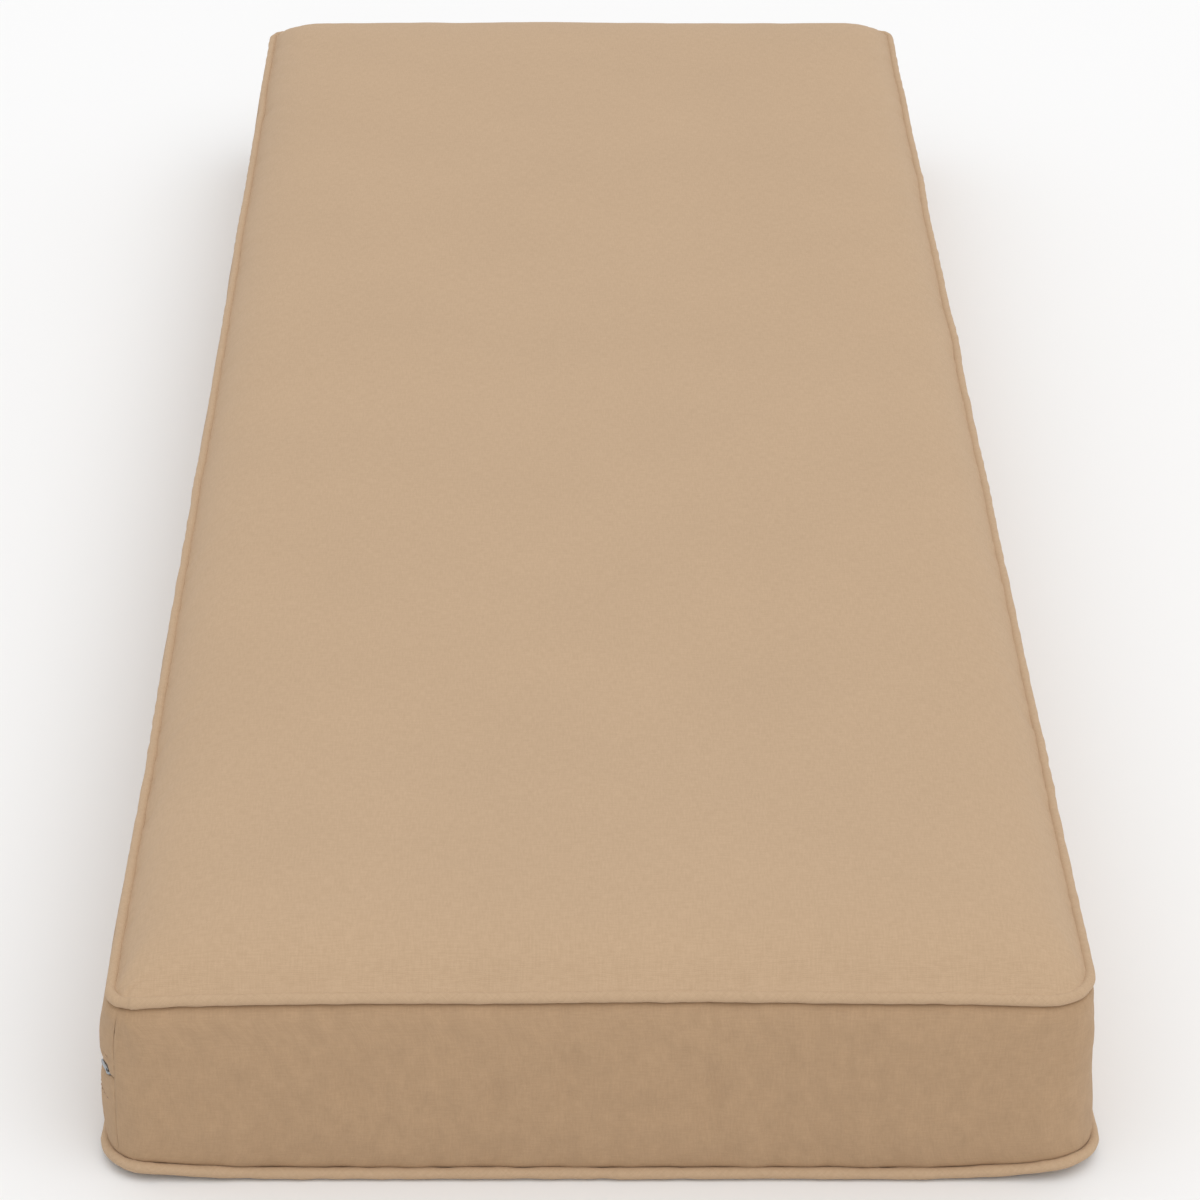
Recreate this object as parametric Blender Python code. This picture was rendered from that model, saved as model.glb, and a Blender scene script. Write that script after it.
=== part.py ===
"""Box-edge bench cushion with piped seams.

One filled pad with a crowned top, a bulging boxing and a flat underside, the two piping
loops sewn into its top and bottom seams, and the zip that closes its left-hand side.

Metres, +Z up. The length lies along Y, the width along X, the front end is at -Y and the
zip is on the -X side. The origin is on the underside, at the middle of its bounding box.
Lengths in the tables are millimetres.
"""

import math

import bmesh
import bpy
from mathutils import Matrix, Vector

MM = 0.001

# ---------------------------------------------------------------- driving sizes
TOP_LENGTH = 1222.0  # over the top piping
TOP_WIDTH = 458.0  # over the top piping
BASE_SPREAD = 7.8  # the bottom piping lies this far outside the top piping, all round
PIPING_TOP = 101.0  # height of the top piping, at the middle of a side
PIPING_DIAMETER = 5.6
ZIP_HEIGHT = 50.5  # height of the line where the zip strips meet
ZIP_PARTING = 1.7  # half the slot between the two folded edges
SLIDER_PARTING = 4.4  # half the slot where the edges part round the slider
SLIDER_ANGLE = 31.0  # degrees round the front left corner, from the side's own direction
CORNER_REACH = 72.0  # how far along a side the droop and lift of a corner reach

# Seen from above, in the order front left, front right, back right, back left.
# sx, sy: which corner; base, box, top: corner radius at those levels;
# lift: how far the bottom piping rises; droop: how far the top piping drops.
CORNER_COLUMNS = ("name", "sx", "sy", "base", "box", "top", "lift", "droop")
CORNERS = (
    ("front_left", -1, -1, 26.0, 25.0, 13.0, 3.6, 2.2),
    ("front_right", 1, -1, 28.0, 25.0, 24.0, 4.8, 0.6),
    ("back_right", 1, 1, 26.0, 25.0, 13.5, 3.4, -0.8),
    ("back_left", -1, 1, 26.0, 25.0, 12.0, 3.4, 0.2),
)

# Each side of the cushion, in the same order. bulge: extra swell of its boxing;
# draw_in: how far the side is pulled in between its corners.
SIDE_COLUMNS = ("name", "bulge", "draw_in")
SIDES = (
    ("front", 0.0, 0.8),
    ("right", -1.4, 0.6),
    ("back", 0.0, 1.6),
    ("left", 1.6, 1.2),
)

# Directions, in degrees, of the points round each corner. The narrow step at 45 degrees
# is the upright seam between two boxing strips.
CORNER_STEPS = (0.0, 15.0, 30.0, 43.0, 47.0, 60.0, 75.0, 90.0)
SHORT_STEPS = 8  # points between the corners of a short side
LONG_STEPS = 18  # points between the corners of a long side

# Section of the pad, from the middle of the underside up round the edge to the crown.
# out: distance outside the line over the top piping; z: height;
# level: corner radius used (0 base, 1 box, 2 top); bulge: share of SIDE_BULGE;
# recess: depth that the zip side is set back for the zip strips;
# sway: share of the corner lift and droop that the row takes.
SECTION_COLUMNS = ("name", "out", "z", "level", "bulge", "recess", "sway")
SECTION = (
    ("base_middle", -190.0, 0.0, 0.0, 0.0, 0.0, 0.0),
    ("base_inner", -95.0, 0.0, 0.0, 0.0, 0.0, 0.0),
    ("base_rest", -16.0, 0.0, 0.0, 0.0, 0.0, 0.0),
    ("base_turn", -1.4, 0.6, 0.0, 0.0, 0.0, 1.0),
    ("base_seam", 1.3, 4.6, 0.0, 0.0, 0.0, 1.0),
    ("box_foot", 4.3, 7.8, 0.0, 0.1, 0.0, 1.0),
    ("box_toe", 5.0, 9.2, 0.2, 0.2, 1.55, 1.0),
    ("box_low", 5.5, 14.0, 0.6, 0.4, 1.55, 1.0),
    ("box_lower", 6.0, 27.0, 1.0, 0.9, 1.55, 1.0),
    ("zip_below", 5.1, 41.0, 1.0, 1.0, 1.55, 1.0),
    ("zip_floor_low", 4.9, 43.4, 1.0, 1.0, 5.6, 1.0),
    ("zip_floor_high", 4.1, 57.6, 1.0, 1.0, 5.6, 1.0),
    ("zip_above", 4.0, 60.0, 1.0, 1.0, 1.55, 1.0),
    ("box_upper", 3.6, 71.0, 1.1, 0.8, 1.55, 1.0),
    ("box_high", 2.8, 84.0, 1.3, 0.5, 1.55, 1.0),
    ("box_head", 1.1, 91.0, 1.7, 0.2, 1.55, 1.0),
    ("box_neck", -0.6, 93.8, 2.0, 0.0, 0.0, 1.0),
    ("top_seam", -6.5, 96.4, 2.0, 0.0, 0.0, 1.0),
    ("top_root", -6.8, 100.2, 2.0, 0.0, 0.0, 1.0),
    ("shoulder_foot", -9.5, 105.4, 2.0, 0.0, 0.0, 0.9),
    ("shoulder_low", -15.0, 111.2, 2.0, 0.0, 0.0, 0.8),
    ("shoulder_mid", -24.0, 116.2, 2.0, 0.0, 0.0, 0.6),
    ("shoulder_high", -38.0, 120.2, 2.0, 0.0, 0.0, 0.4),
    ("crown_rim", -60.0, 122.8, 2.0, 0.0, 0.0, 0.2),
    ("crown_mid", -98.0, 124.4, 2.0, 0.0, 0.0, 0.0),
    ("crown_top", -190.0, 125.0, 2.0, 0.0, 0.0, 0.0),
)

# The zip strips, as the outline of each one's cross-section, which the lower strip
# mirrors. off: distance outside the boxing's own line; rise: share of the way from the
# folded edge to the stitched line, or None where the strip's own height is given.
STRIP_COLUMNS = ("name", "off", "rise", "z_upper", "z_lower")
STRIP = (
    ("edge_outer", 0.0, None, 91.0, 10.2),
    ("shoulder", 0.0, None, 84.0, 14.0),
    ("belly", 0.0, None, 71.0, 27.0),
    ("stitched", 0.0, 1.0, None, None),
    ("slope", -0.4, 0.62, None, None),
    ("roll", -1.0, 0.28, None, None),
    ("fold_outer", -1.7, 0.05, None, None),
    ("fold", -2.5, 0.0, None, None),
    ("fold_inner", -3.4, 0.05, None, None),
    ("hem_inner", -3.3, 0.48, None, None),
    ("hem_step", -1.9, 0.7, None, None),
    ("back_low", -1.2, 1.0, None, None),
    ("back_belly", -1.2, None, 71.0, 27.0),
    ("back_shoulder", -1.2, None, 84.0, 14.0),
    ("edge_inner", -1.2, None, 91.0, 10.2),
)
STITCH_LINE = 9.5  # height of the stitched line above the parting line

# The zip's tape and its row of teeth, as one cross-section.
# off: distance outside the boxing's own line; rise: height above the zip's line;
# teeth: 1 where the point stands on the teeth, which stop at the slider.
CHAIN_COLUMNS = ("name", "off", "rise", "teeth")
CHAIN = (
    ("tape_back_low", -5.25, -6.0, 0),
    ("tape_front_low", -4.25, -6.0, 0),
    ("teeth_foot_low", -4.25, -1.5, 0),
    ("teeth_low", -4.25, -0.7, 1),
    ("teeth_high", -4.25, 0.7, 1),
    ("teeth_foot_high", -4.25, 1.5, 0),
    ("tape_front_high", -4.25, 6.0, 0),
    ("tape_back_high", -5.25, 6.0, 0),
)
TEETH_HEIGHT = 1.9

# Colours: red, green, blue, then roughness and metallic.
FINISHES = {
    "cover_cloth": ((0.565, 0.397, 0.258, 1.0), 0.92, 0.0),
    "piping_cloth": ((0.575, 0.405, 0.265, 1.0), 0.90, 0.0),
    "zip_tape": ((0.50, 0.36, 0.24, 1.0), 0.85, 0.0),
    "zip_metal": ((0.52, 0.55, 0.58, 1.0), 0.32, 1.0),
}


def rows(columns, table):
    return [dict(zip(columns, values)) for values in table]


CORNER_ROWS = rows(CORNER_COLUMNS, CORNERS)
SIDE_ROWS = rows(SIDE_COLUMNS, SIDES)
SECTION_ROWS = rows(SECTION_COLUMNS, SECTION)
STRIP_ROWS = rows(STRIP_COLUMNS, STRIP)
CHAIN_ROWS = rows(CHAIN_COLUMNS, CHAIN)
BOX_ROWS = [row for row in SECTION_ROWS if 4.0 < row["z"] < 95.0]


def mix(a, b, t):
    return a + (b - a) * t


# ---------------------------------------------------------------- plan outline
def stations():
    """The points round the outline, anticlockwise from above from the front left corner.

    Each is (corner, degrees) on a corner, or (corner, None, share of the side) on the
    side that follows that corner."""
    found = []
    for corner, steps in enumerate((SHORT_STEPS, LONG_STEPS, SHORT_STEPS, LONG_STEPS)):
        found += [(corner, degrees, 0.0) for degrees in CORNER_STEPS]
        for step in range(1, steps + 1):
            even = step / (steps + 1)
            crowded = 0.5 - 0.5 * math.cos(math.pi * even)
            found.append((corner, None, mix(even, crowded, 0.6)))
    return found


STATIONS = stations()
START_ANGLE = (180.0, 270.0, 0.0, 90.0)


def corner_radius(corner, level):
    row = CORNER_ROWS[corner]
    low, high = ("base", "box") if level <= 1.0 else ("box", "top")
    return mix(row[low], row[high], level if level <= 1.0 else level - 1.0)


def ring_radius(corner, out, level):
    """Corner radius of the ring `out` outside the line over the top piping.

    Rings near the piping are concentric, and those of the panels grow rounder inwards."""
    spread = BASE_SPREAD * max(0.0, 1.0 - level)
    inside = spread - out
    near = min(max(inside, -20.0), 6.6)
    return corner_radius(corner, level) - near + max(0.0, inside - 6.6) * 0.9


def outline_point(station, out, level, bulge=0.0):
    """Where a station lies in plan, on the ring `out` outside the top piping's line."""
    corner, degrees, share = station
    extent = {}
    for side in SIDE_ROWS:
        size = TOP_LENGTH if side["name"] in ("front", "back") else TOP_WIDTH
        extent[side["name"]] = size / 2 + out + side["bulge"] * bulge
    limit = min(extent.values()) - 0.5

    def arc(which, angle):
        row = CORNER_ROWS[which]
        radius = min(ring_radius(which, out, level), limit)
        x = row["sx"] * (extent["left" if row["sx"] < 0 else "right"] - radius)
        y = row["sy"] * (extent["front" if row["sy"] < 0 else "back"] - radius)
        turn = math.radians(angle)
        return Vector((x + radius * math.cos(turn), y + radius * math.sin(turn)))

    if degrees is not None:
        return arc(corner, START_ANGLE[corner] + degrees)
    following = (corner + 1) % 4
    first = arc(corner, START_ANGLE[corner] + 90.0)
    last = arc(following, START_ANGLE[following])
    along = (last - first).normalized()
    inward = Vector((-along.y, along.x))
    draw_in = SIDE_ROWS[corner]["draw_in"]
    return first.lerp(last, share) + inward * draw_in * 4.0 * share * (1.0 - share)


def corner_sway(station, z, share):
    """Height added near a corner: the bottom piping lifts and the top piping droops."""
    corner, degrees, along = station
    if degrees is not None:
        weights = ((corner, 1.0),)
    else:
        side = TOP_WIDTH if corner % 2 == 0 else TOP_LENGTH
        near = max(0.0, 1.0 - along * side / CORNER_REACH) ** 2
        far = max(0.0, 1.0 - (1.0 - along) * side / CORNER_REACH) ** 2
        weights = ((corner, near), ((corner + 1) % 4, far))
    up = min(z / PIPING_TOP, 1.0)
    total = 0.0
    for which, weight in weights:
        row = CORNER_ROWS[which]
        total += weight * (row["lift"] * (1.0 - up) - row["droop"] * up)
    return total * share


def place(station, out, z, level, bulge=0.0, sway=1.0):
    flat = outline_point(station, out, level, bulge)
    return Vector((flat.x, flat.y, z + corner_sway(station, z, sway))) * MM


def boxing_at(z):
    """The boxing's out, level and bulge at a height, straight between the section rows."""
    for low, high in zip(BOX_ROWS, BOX_ROWS[1:]):
        if low["z"] <= z <= high["z"]:
            t = (z - low["z"]) / (high["z"] - low["z"])
            return tuple(mix(low[key], high[key], t) for key in ("out", "level", "bulge"))
    raise ValueError(f"no boxing at {z}")


def on_boxing(station, z, off):
    out, level, bulge = boxing_at(z)
    return place(station, out + off, z, level, bulge)


def on_zip_side(station):
    """Whether a station is between the upright seams of the zip's side."""
    corner, degrees, _ = station
    if corner == 0:
        return degrees is not None and degrees <= 43.0
    if corner == 3:
        return degrees is None or degrees >= 47.0
    return False


# From the seam at the back left corner to the seam at the front left corner.
ZIP_STATIONS = [s for s in STATIONS if s[0] == 3 and on_zip_side(s)] + [
    s for s in STATIONS if s[0] == 0 and on_zip_side(s)
]


# ---------------------------------------------------------------- making objects
def clear_scene():
    for thing in list(bpy.data.objects):
        bpy.data.objects.remove(thing, do_unlink=True)


def make_material(name):
    colour, roughness, metallic = FINISHES[name]
    material = bpy.data.materials.new(name)
    material.use_nodes = True
    shader = material.node_tree.nodes["Principled BSDF"]
    shader.inputs["Base Color"].default_value = colour
    shader.inputs["Roughness"].default_value = roughness
    shader.inputs["Metallic"].default_value = metallic
    material.diffuse_color = colour
    return material


def add_object(name, data, collection, material, parent):
    made = bpy.data.objects.new(name, data)
    collection.objects.link(made)
    made.parent = parent
    if data is not None:
        data.materials.append(material)
    return made


def mesh_from(name, bm, sharp_degrees=35.0):
    bmesh.ops.recalc_face_normals(bm, faces=bm.faces[:])
    if bm.calc_volume(signed=True) < 0.0:
        bmesh.ops.reverse_faces(bm, faces=bm.faces[:])
    mesh = bpy.data.meshes.new(name)
    bm.to_mesh(mesh)
    bm.free()
    mesh.shade_smooth()
    mesh.set_sharp_from_angle(angle=math.radians(sharp_degrees))
    return mesh


def loft(name, rings, closed_ring, closed_loft):
    """Skins rings of equal count. Open ends of the loft are capped with one face each."""
    bm = bmesh.new()
    made = [[bm.verts.new(point) for point in ring] for ring in rings]
    count = len(made[0])
    spans = list(zip(made, made[1:] + made[:1] if closed_loft else made[1:]))
    for first, second in spans:
        for k in range(count if closed_ring else count - 1):
            n = (k + 1) % count
            bm.faces.new((first[k], first[n], second[n], second[k]))
    if not closed_loft:
        bm.faces.new(made[0])
        bm.faces.new(made[-1])
    return mesh_from(name, bm)


# ---------------------------------------------------------------- the pieces
def pad_mesh():
    """The filled pad: one ring of the outline for each row of the section."""
    rings = []
    for row in SECTION_ROWS:
        ring = []
        for station in STATIONS:
            setback = row["recess"] if on_zip_side(station) else 0.0
            ring.append(
                place(
                    station,
                    row["out"] - setback,
                    row["z"],
                    row["level"],
                    row["bulge"],
                    row["sway"],
                )
            )
        rings.append(ring)
    return loft("cushion_pad", rings, closed_ring=True, closed_loft=False)


def piping_curve(name, out, z, level):
    """A closed cord sewn into a seam, in the same steps round the outline as the pad."""
    curve = bpy.data.curves.new(name, "CURVE")
    curve.dimensions = "3D"
    spline = curve.splines.new("POLY")
    spline.points.add(len(STATIONS) - 1)
    for point, station in zip(spline.points, STATIONS):
        point.co = (*place(station, out, z, level), 1.0)
    spline.use_cyclic_u = True
    curve.bevel_depth = PIPING_DIAMETER / 2 * MM
    curve.bevel_resolution = 2
    return curve


def parting(station):
    """Half the slot between the folded edges: wider round the slider."""
    corner, degrees, _ = station
    beside_slider = corner == 0 and degrees is not None and degrees >= 15.0
    return SLIDER_PARTING if beside_slider else ZIP_PARTING


def strip_mesh(name, up):
    rings = []
    for station in ZIP_STATIONS:
        ring = []
        for row in STRIP_ROWS:
            if row["rise"] is None:
                z = row["z_upper"] if up > 0 else row["z_lower"]
            else:
                # The fold moves with its edge, and the stitched line stays put.
                z = ZIP_HEIGHT + up * mix(parting(station), STITCH_LINE, row["rise"])
            ring.append(on_boxing(station, z, row["off"]))
        rings.append(ring)
    return loft(name, rings, closed_ring=True, closed_loft=False)


def chain_mesh():
    rings = []
    for station in ZIP_STATIONS:
        corner, degrees, _ = station
        has_teeth = not (corner == 0 and degrees is not None and degrees >= 15.0)
        ring = []
        for row in CHAIN_ROWS:
            off = row["off"] + (TEETH_HEIGHT if row["teeth"] and has_teeth else 0.0)
            out, level, bulge = boxing_at(ZIP_HEIGHT)
            ring.append(place(station, out + off, ZIP_HEIGHT + row["rise"], level, bulge))
        rings.append(ring)
    return loft("zip_chain", rings, closed_ring=True, closed_loft=False)


def slider_frame():
    """A frame at the slider: X along the zip towards the back, Y down, Z outwards."""
    station = (0, SLIDER_ANGLE, 0.0)
    origin = on_boxing(station, ZIP_HEIGHT, 0.0)
    turn = math.radians(START_ANGLE[0] + SLIDER_ANGLE)
    outward = Vector((math.cos(turn), math.sin(turn), 0.0))
    downward = Vector((0.0, 0.0, -1.0))
    along = downward.cross(outward)
    frame = Matrix((along, downward, outward)).transposed().to_4x4()
    frame.translation = origin
    return frame


def box_mesh(name, low, high, bevel=0.0):
    """A box between two corners given in millimetres, with its edges rounded."""
    bm = bmesh.new()
    bmesh.ops.create_cube(bm, size=1.0)
    size = Vector(high) - Vector(low)
    middle = (Vector(high) + Vector(low)) / 2
    bmesh.ops.scale(bm, vec=size * MM, verts=bm.verts[:])
    bmesh.ops.translate(bm, vec=middle * MM, verts=bm.verts[:])
    if bevel:
        bmesh.ops.bevel(
            bm,
            geom=bm.edges[:],
            offset=bevel * MM,
            segments=2,
            profile=0.5,
            affect="EDGES",
        )
    return mesh_from(name, bm)


# The slider, in the slider's own frame: along the zip, down, outwards.
SLIDER_BODY = ((-4.4, -3.0, -3.9), (4.4, 3.0, -2.3))
SLIDER_BRIDGE_FEET = (
    ((-3.6, -0.7, -2.9), (-2.2, 0.7, 0.5)),
    ((1.6, -0.7, -2.9), (3.0, 0.7, 0.5)),
)
SLIDER_BRIDGE_TOP = ((-3.6, -0.7, 0.1), (3.0, 0.7, 0.8))
PULL_LENGTH = 10.0
PULL_WIDTH = 4.0
PULL_THICKNESS = 0.8
PULL_HOLE = (2.1, 2.1)
PULL_TURN = 13.0  # degrees that the pull dips from the slider towards the zip


def union_of(name, meshes, collection, helpers):
    """One solid from overlapping boxes: the first is joined with each of the others."""
    base = bpy.data.objects.new(name, meshes[0])
    collection.objects.link(base)
    for index, mesh in enumerate(meshes[1:]):
        other = bpy.data.objects.new(f"{name}_join_{index}", mesh)
        helpers.objects.link(other)
        other.hide_render = True
        other.display_type = "WIRE"
        join = base.modifiers.new(f"join_{index}", "BOOLEAN")
        join.operation = "UNION"
        join.solver = "EXACT"
        join.object = other
    return base


def pull_curve():
    """The pull tab's flat outline, with the eye that the slider's bridge passes through."""
    curve = bpy.data.curves.new("zip_pull", "CURVE")
    curve.dimensions = "2D"
    curve.fill_mode = "BOTH"
    curve.extrude = PULL_THICKNESS / 2 * MM
    half = PULL_WIDTH / 2
    nose = 1.4
    outer = [(-1.4, -half + nose), (-1.4 + nose * 0.3, -half + nose * 0.3), (0.0, -half)]
    for step in range(0, 9):
        turn = math.radians(-90.0 + 180.0 * step / 8)
        reach = PULL_LENGTH - 1.4 - half
        outer.append((reach + half * 0.8 * math.cos(turn), half * 0.8 * math.sin(turn)))
    outer += [(0.0, half), (-1.4 + nose * 0.3, half - nose * 0.3), (-1.4, half - nose)]
    wide, tall = PULL_HOLE
    hole = [(-0.4, -tall / 2), (-0.4, tall / 2), (wide - 0.4, tall / 2), (wide - 0.4, -tall / 2)]
    for points in (outer, hole):
        spline = curve.splines.new("POLY")
        spline.points.add(len(points) - 1)
        for point, (x, y) in zip(spline.points, points):
            point.co = (x * MM, y * MM, 0.0, 1.0)
        spline.use_cyclic_u = True
    return curve


def welded_mesh_object(source, name, collection, material, parent):
    """Turns a curve object into a mesh object with its caps welded on."""
    bpy.context.view_layer.update()
    graph = bpy.context.evaluated_depsgraph_get()
    mesh = bpy.data.meshes.new_from_object(source.evaluated_get(graph))
    matrix = source.matrix_world.copy()
    bm = bmesh.new()
    bm.from_mesh(mesh)
    bmesh.ops.remove_doubles(bm, verts=bm.verts[:], dist=1e-6)
    bm.to_mesh(mesh)
    bm.free()
    bpy.data.objects.remove(source, do_unlink=True)
    mesh.name = name
    mesh.materials.clear()
    made = add_object(name, mesh, collection, material, parent)
    made.matrix_world = matrix
    return made


def main():
    clear_scene()
    collection = bpy.data.collections.new("bench_cushion")
    helpers = bpy.data.collections.new("bench_cushion_helpers")
    bpy.context.scene.collection.children.link(collection)
    bpy.context.scene.collection.children.link(helpers)
    finishes = {name: make_material(name) for name in FINISHES}

    cushion = bpy.data.objects.new("bench_cushion", None)
    collection.objects.link(cushion)

    add_object("cushion_pad", pad_mesh(), collection, finishes["cover_cloth"], cushion)

    radius = PIPING_DIAMETER / 2
    top = piping_curve("piping_top", -radius, PIPING_TOP - radius, 2.0)
    add_object("piping_top", top, collection, finishes["piping_cloth"], cushion)
    base = piping_curve("piping_base", BASE_SPREAD - radius, 0.7 + radius, 0.0)
    add_object("piping_base", base, collection, finishes["piping_cloth"], cushion)

    for name, up in (("zip_strip_upper", 1), ("zip_strip_lower", -1)):
        add_object(name, strip_mesh(name, up), collection, finishes["cover_cloth"], cushion)
    add_object("zip_chain", chain_mesh(), collection, finishes["zip_tape"], cushion)

    frame = slider_frame()
    body = box_mesh("zip_slider", *SLIDER_BODY, bevel=0.5)
    feet = [box_mesh(f"foot_{i}", *ends) for i, ends in enumerate(SLIDER_BRIDGE_FEET)]
    bridge = box_mesh("bridge", *SLIDER_BRIDGE_TOP)
    slider = union_of("zip_slider", [body, *feet, bridge], collection, helpers)
    slider.data.materials.append(finishes["zip_metal"])
    for thing in [slider, *helpers.objects]:
        thing.parent = cushion
        thing.matrix_world = frame

    # The pull hangs on the rear foot of the bridge and lies back along the zip.
    pull = bpy.data.objects.new("zip_pull_outline", pull_curve())
    collection.objects.link(pull)
    hang = Matrix.Translation(Vector((1.6, 0.0, -0.95)) * MM)
    dip = Matrix.Rotation(math.radians(PULL_TURN), 4, "Y")
    pull.matrix_world = frame @ hang @ dip
    welded_mesh_object(pull, "zip_pull", collection, finishes["zip_metal"], cushion)


main()
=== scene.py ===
"""Bench cushion: the looks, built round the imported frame.

A filled pad in heathered canvas with corded seams and a zip let into its left side.
Lengths in the tables are millimetres, and meshes are made in metres. The front end is at
-Y, +Z is up, and the zip is on the -X side.
"""

import math

import bmesh
import bpy
import numpy as np
from mathutils import Matrix, Vector


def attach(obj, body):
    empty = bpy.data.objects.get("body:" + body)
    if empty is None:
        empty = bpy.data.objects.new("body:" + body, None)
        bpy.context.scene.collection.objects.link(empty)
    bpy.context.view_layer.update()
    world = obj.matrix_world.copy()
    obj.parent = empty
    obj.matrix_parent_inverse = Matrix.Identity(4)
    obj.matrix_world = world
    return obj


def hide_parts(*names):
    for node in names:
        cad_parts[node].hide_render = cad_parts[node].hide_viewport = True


MM = 0.001
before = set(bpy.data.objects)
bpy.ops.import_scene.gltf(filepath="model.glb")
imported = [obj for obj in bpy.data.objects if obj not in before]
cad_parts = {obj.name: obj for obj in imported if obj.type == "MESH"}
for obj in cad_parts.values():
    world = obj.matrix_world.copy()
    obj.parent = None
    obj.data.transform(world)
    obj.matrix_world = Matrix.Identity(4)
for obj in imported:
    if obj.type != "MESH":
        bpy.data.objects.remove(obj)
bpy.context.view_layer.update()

# ---------------------------------------------------------------- camera
# The frame is square. The camera looks along the cushion and down at it.
CAMERA_AT = (-0.02485, -2.03935, 1.11989)
CAMERA_PITCH = 29.54  # degrees below the horizon
CAMERA_LENS = 114.272
CAMERA_SHIFT_X = 0.04384

# ---------------------------------------------------------------- light
DOME = 0.60
ZENITH = 0.50  # more from overhead, falling off to none at the horizon
HORIZON = 0.8
KEY = 0.62
KEY_FROM = (0.38, -0.50, 1.0)
FILL = 4.0
FILL_COLOUR = (1.0, 0.80, 0.56)

# ---------------------------------------------------------------- cloth colours
CLOTH_COLOUR = (0.505, 0.354, 0.226)
BOXING_SHADED_COLOUR = (0.430, 0.286, 0.171)  # darker and warmer than the cloth: painted shade of the upright sides

# ---------------------------------------------------------------- sizes, as in the frame
TOP_LENGTH = 1222.0
TOP_WIDTH = 458.0
BASE_SPREAD = 7.8
PIPING_TOP = 101.0
PIPING_RADIUS = 2.8
ZIP_HEIGHT = 50.5
ZIP_PARTING = 1.7
SLIDER_PARTING = 4.4
SLIDER_ANGLE = 31.0
CORNER_REACH = 72.0

CORNER_COLUMNS = ("name", "sx", "sy", "base", "box", "top", "lift", "droop")
CORNERS = (
    ("front_left", -1, -1, 26.0, 25.0, 13.0, 3.6, 2.2),
    ("front_right", 1, -1, 28.0, 25.0, 24.0, 4.8, 0.6),
    ("back_right", 1, 1, 26.0, 25.0, 13.5, 3.4, -0.8),
    ("back_left", -1, 1, 26.0, 25.0, 12.0, 3.4, 0.2),
)
SIDE_COLUMNS = ("name", "bulge", "draw_in", "size", "steps")
SIDES = (
    ("front", 0.0, 0.8, TOP_WIDTH, 112),
    ("right", -1.9, 0.6, TOP_LENGTH, 292),
    ("back", 0.0, 1.6, TOP_WIDTH, 112),
    ("left", 1.1, 1.2, TOP_LENGTH, 292),
)
START_ANGLE = np.array([180.0, 270.0, 0.0, 90.0])
# The corner tightens upwards. Beside the zip the stations turn with it, so that the upright
# seam stays upright.
SEAM_LEAN = np.array([15.0, 0.0, 0.0, -15.0])
# Round each corner, in degrees. The close steps lie at the upright seam.
CORNER_STEPS = (
    0.0, 6.0, 12.0, 18.0, 24.0, 30.0, 35.5, 40.0, 42.2, 43.4, 44.2, 45.0,
    45.8, 46.6, 47.8, 50.0, 54.5, 60.0, 66.0, 72.0, 78.0, 84.0, 90.0,
)

# The section of each cloth, from one seam to the next.
# out: distance outside the line over the top piping; z: height; level: corner radius
# used (0 base, 1 box, 2 top); bulge: share of the side's bulge; sway: share of the corner
# lift and droop; base, top: share of the waver of the bottom and of the top seam.
SECTION_COLUMNS = ("name", "out", "z", "level", "bulge", "sway", "base", "top")
UNDERSIDE = (
    ("middle", -221.0, 0.0, 0.0, 0.0, 0.0, 0.0, 0.0),
    ("inner", -120.0, 0.0, 0.0, 0.0, 0.0, 0.0, 0.0),
    ("rest", -24.0, 0.0, 0.0, 0.0, 0.0, 0.0, 0.0),
    ("turn", -8.0, 0.1, 0.0, 0.0, 0.4, 0.0, 0.0),
    ("lip", -1.5, 0.7, 0.0, 0.0, 0.9, 0.5, 0.0),
    ("near_seam", 0.4, 2.0, 0.0, 0.0, 1.0, 1.0, 0.0),
    ("seam", 0.8, 3.6, 0.0, 0.0, 1.0, 1.0, 0.0),
)
BOXING = (
    ("seam", 0.9, 4.2, 0.0, 0.0, 1.0, 1.0, 0.0),
    ("foot", 2.6, 4.9, 0.0, 0.1, 1.0, 1.0, 0.0),
    ("nip", 3.8, 6.2, 0.0, 0.1, 1.0, 1.0, 0.0),
    ("toe", 4.5, 8.3, 0.2, 0.2, 1.0, 0.9, 0.0),
    ("low", 5.0, 11.6, 0.5, 0.4, 1.0, 0.8, 0.0),
    ("lower", 5.6, 19.0, 0.8, 0.7, 1.0, 0.5, 0.0),
    ("lower_mid", 5.9, 29.0, 1.0, 0.9, 1.0, 0.3, 0.0),
    ("below_zip", 5.4, 41.0, 1.0, 1.0, 1.0, 0.1, 0.1),
    ("zip_line", 5.0, 50.5, 1.0, 1.0, 1.0, 0.0, 0.2),
    ("above_zip", 4.7, 60.0, 1.0, 1.0, 1.0, 0.0, 0.3),
    ("upper", 4.4, 71.0, 1.1, 0.8, 1.0, 0.0, 0.5),
    ("high", 3.8, 80.0, 1.3, 0.5, 1.0, 0.0, 0.8),
    ("head", 3.0, 86.0, 1.7, 0.2, 1.0, 0.0, 1.0),
    ("shoulder", 1.9, 89.8, 2.0, 0.0, 1.0, 0.0, 1.0),
    ("bend", 0.6, 92.4, 2.0, 0.0, 1.0, 0.0, 1.0),
    ("neck", -1.0, 94.4, 2.0, 0.0, 1.0, 0.0, 1.0),
    ("tuck", -2.6, 95.1, 2.0, 0.0, 1.0, 0.0, 1.0),
    ("seam", -5.0, 96.6, 2.0, 0.0, 1.0, 0.0, 1.0),
)
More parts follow.
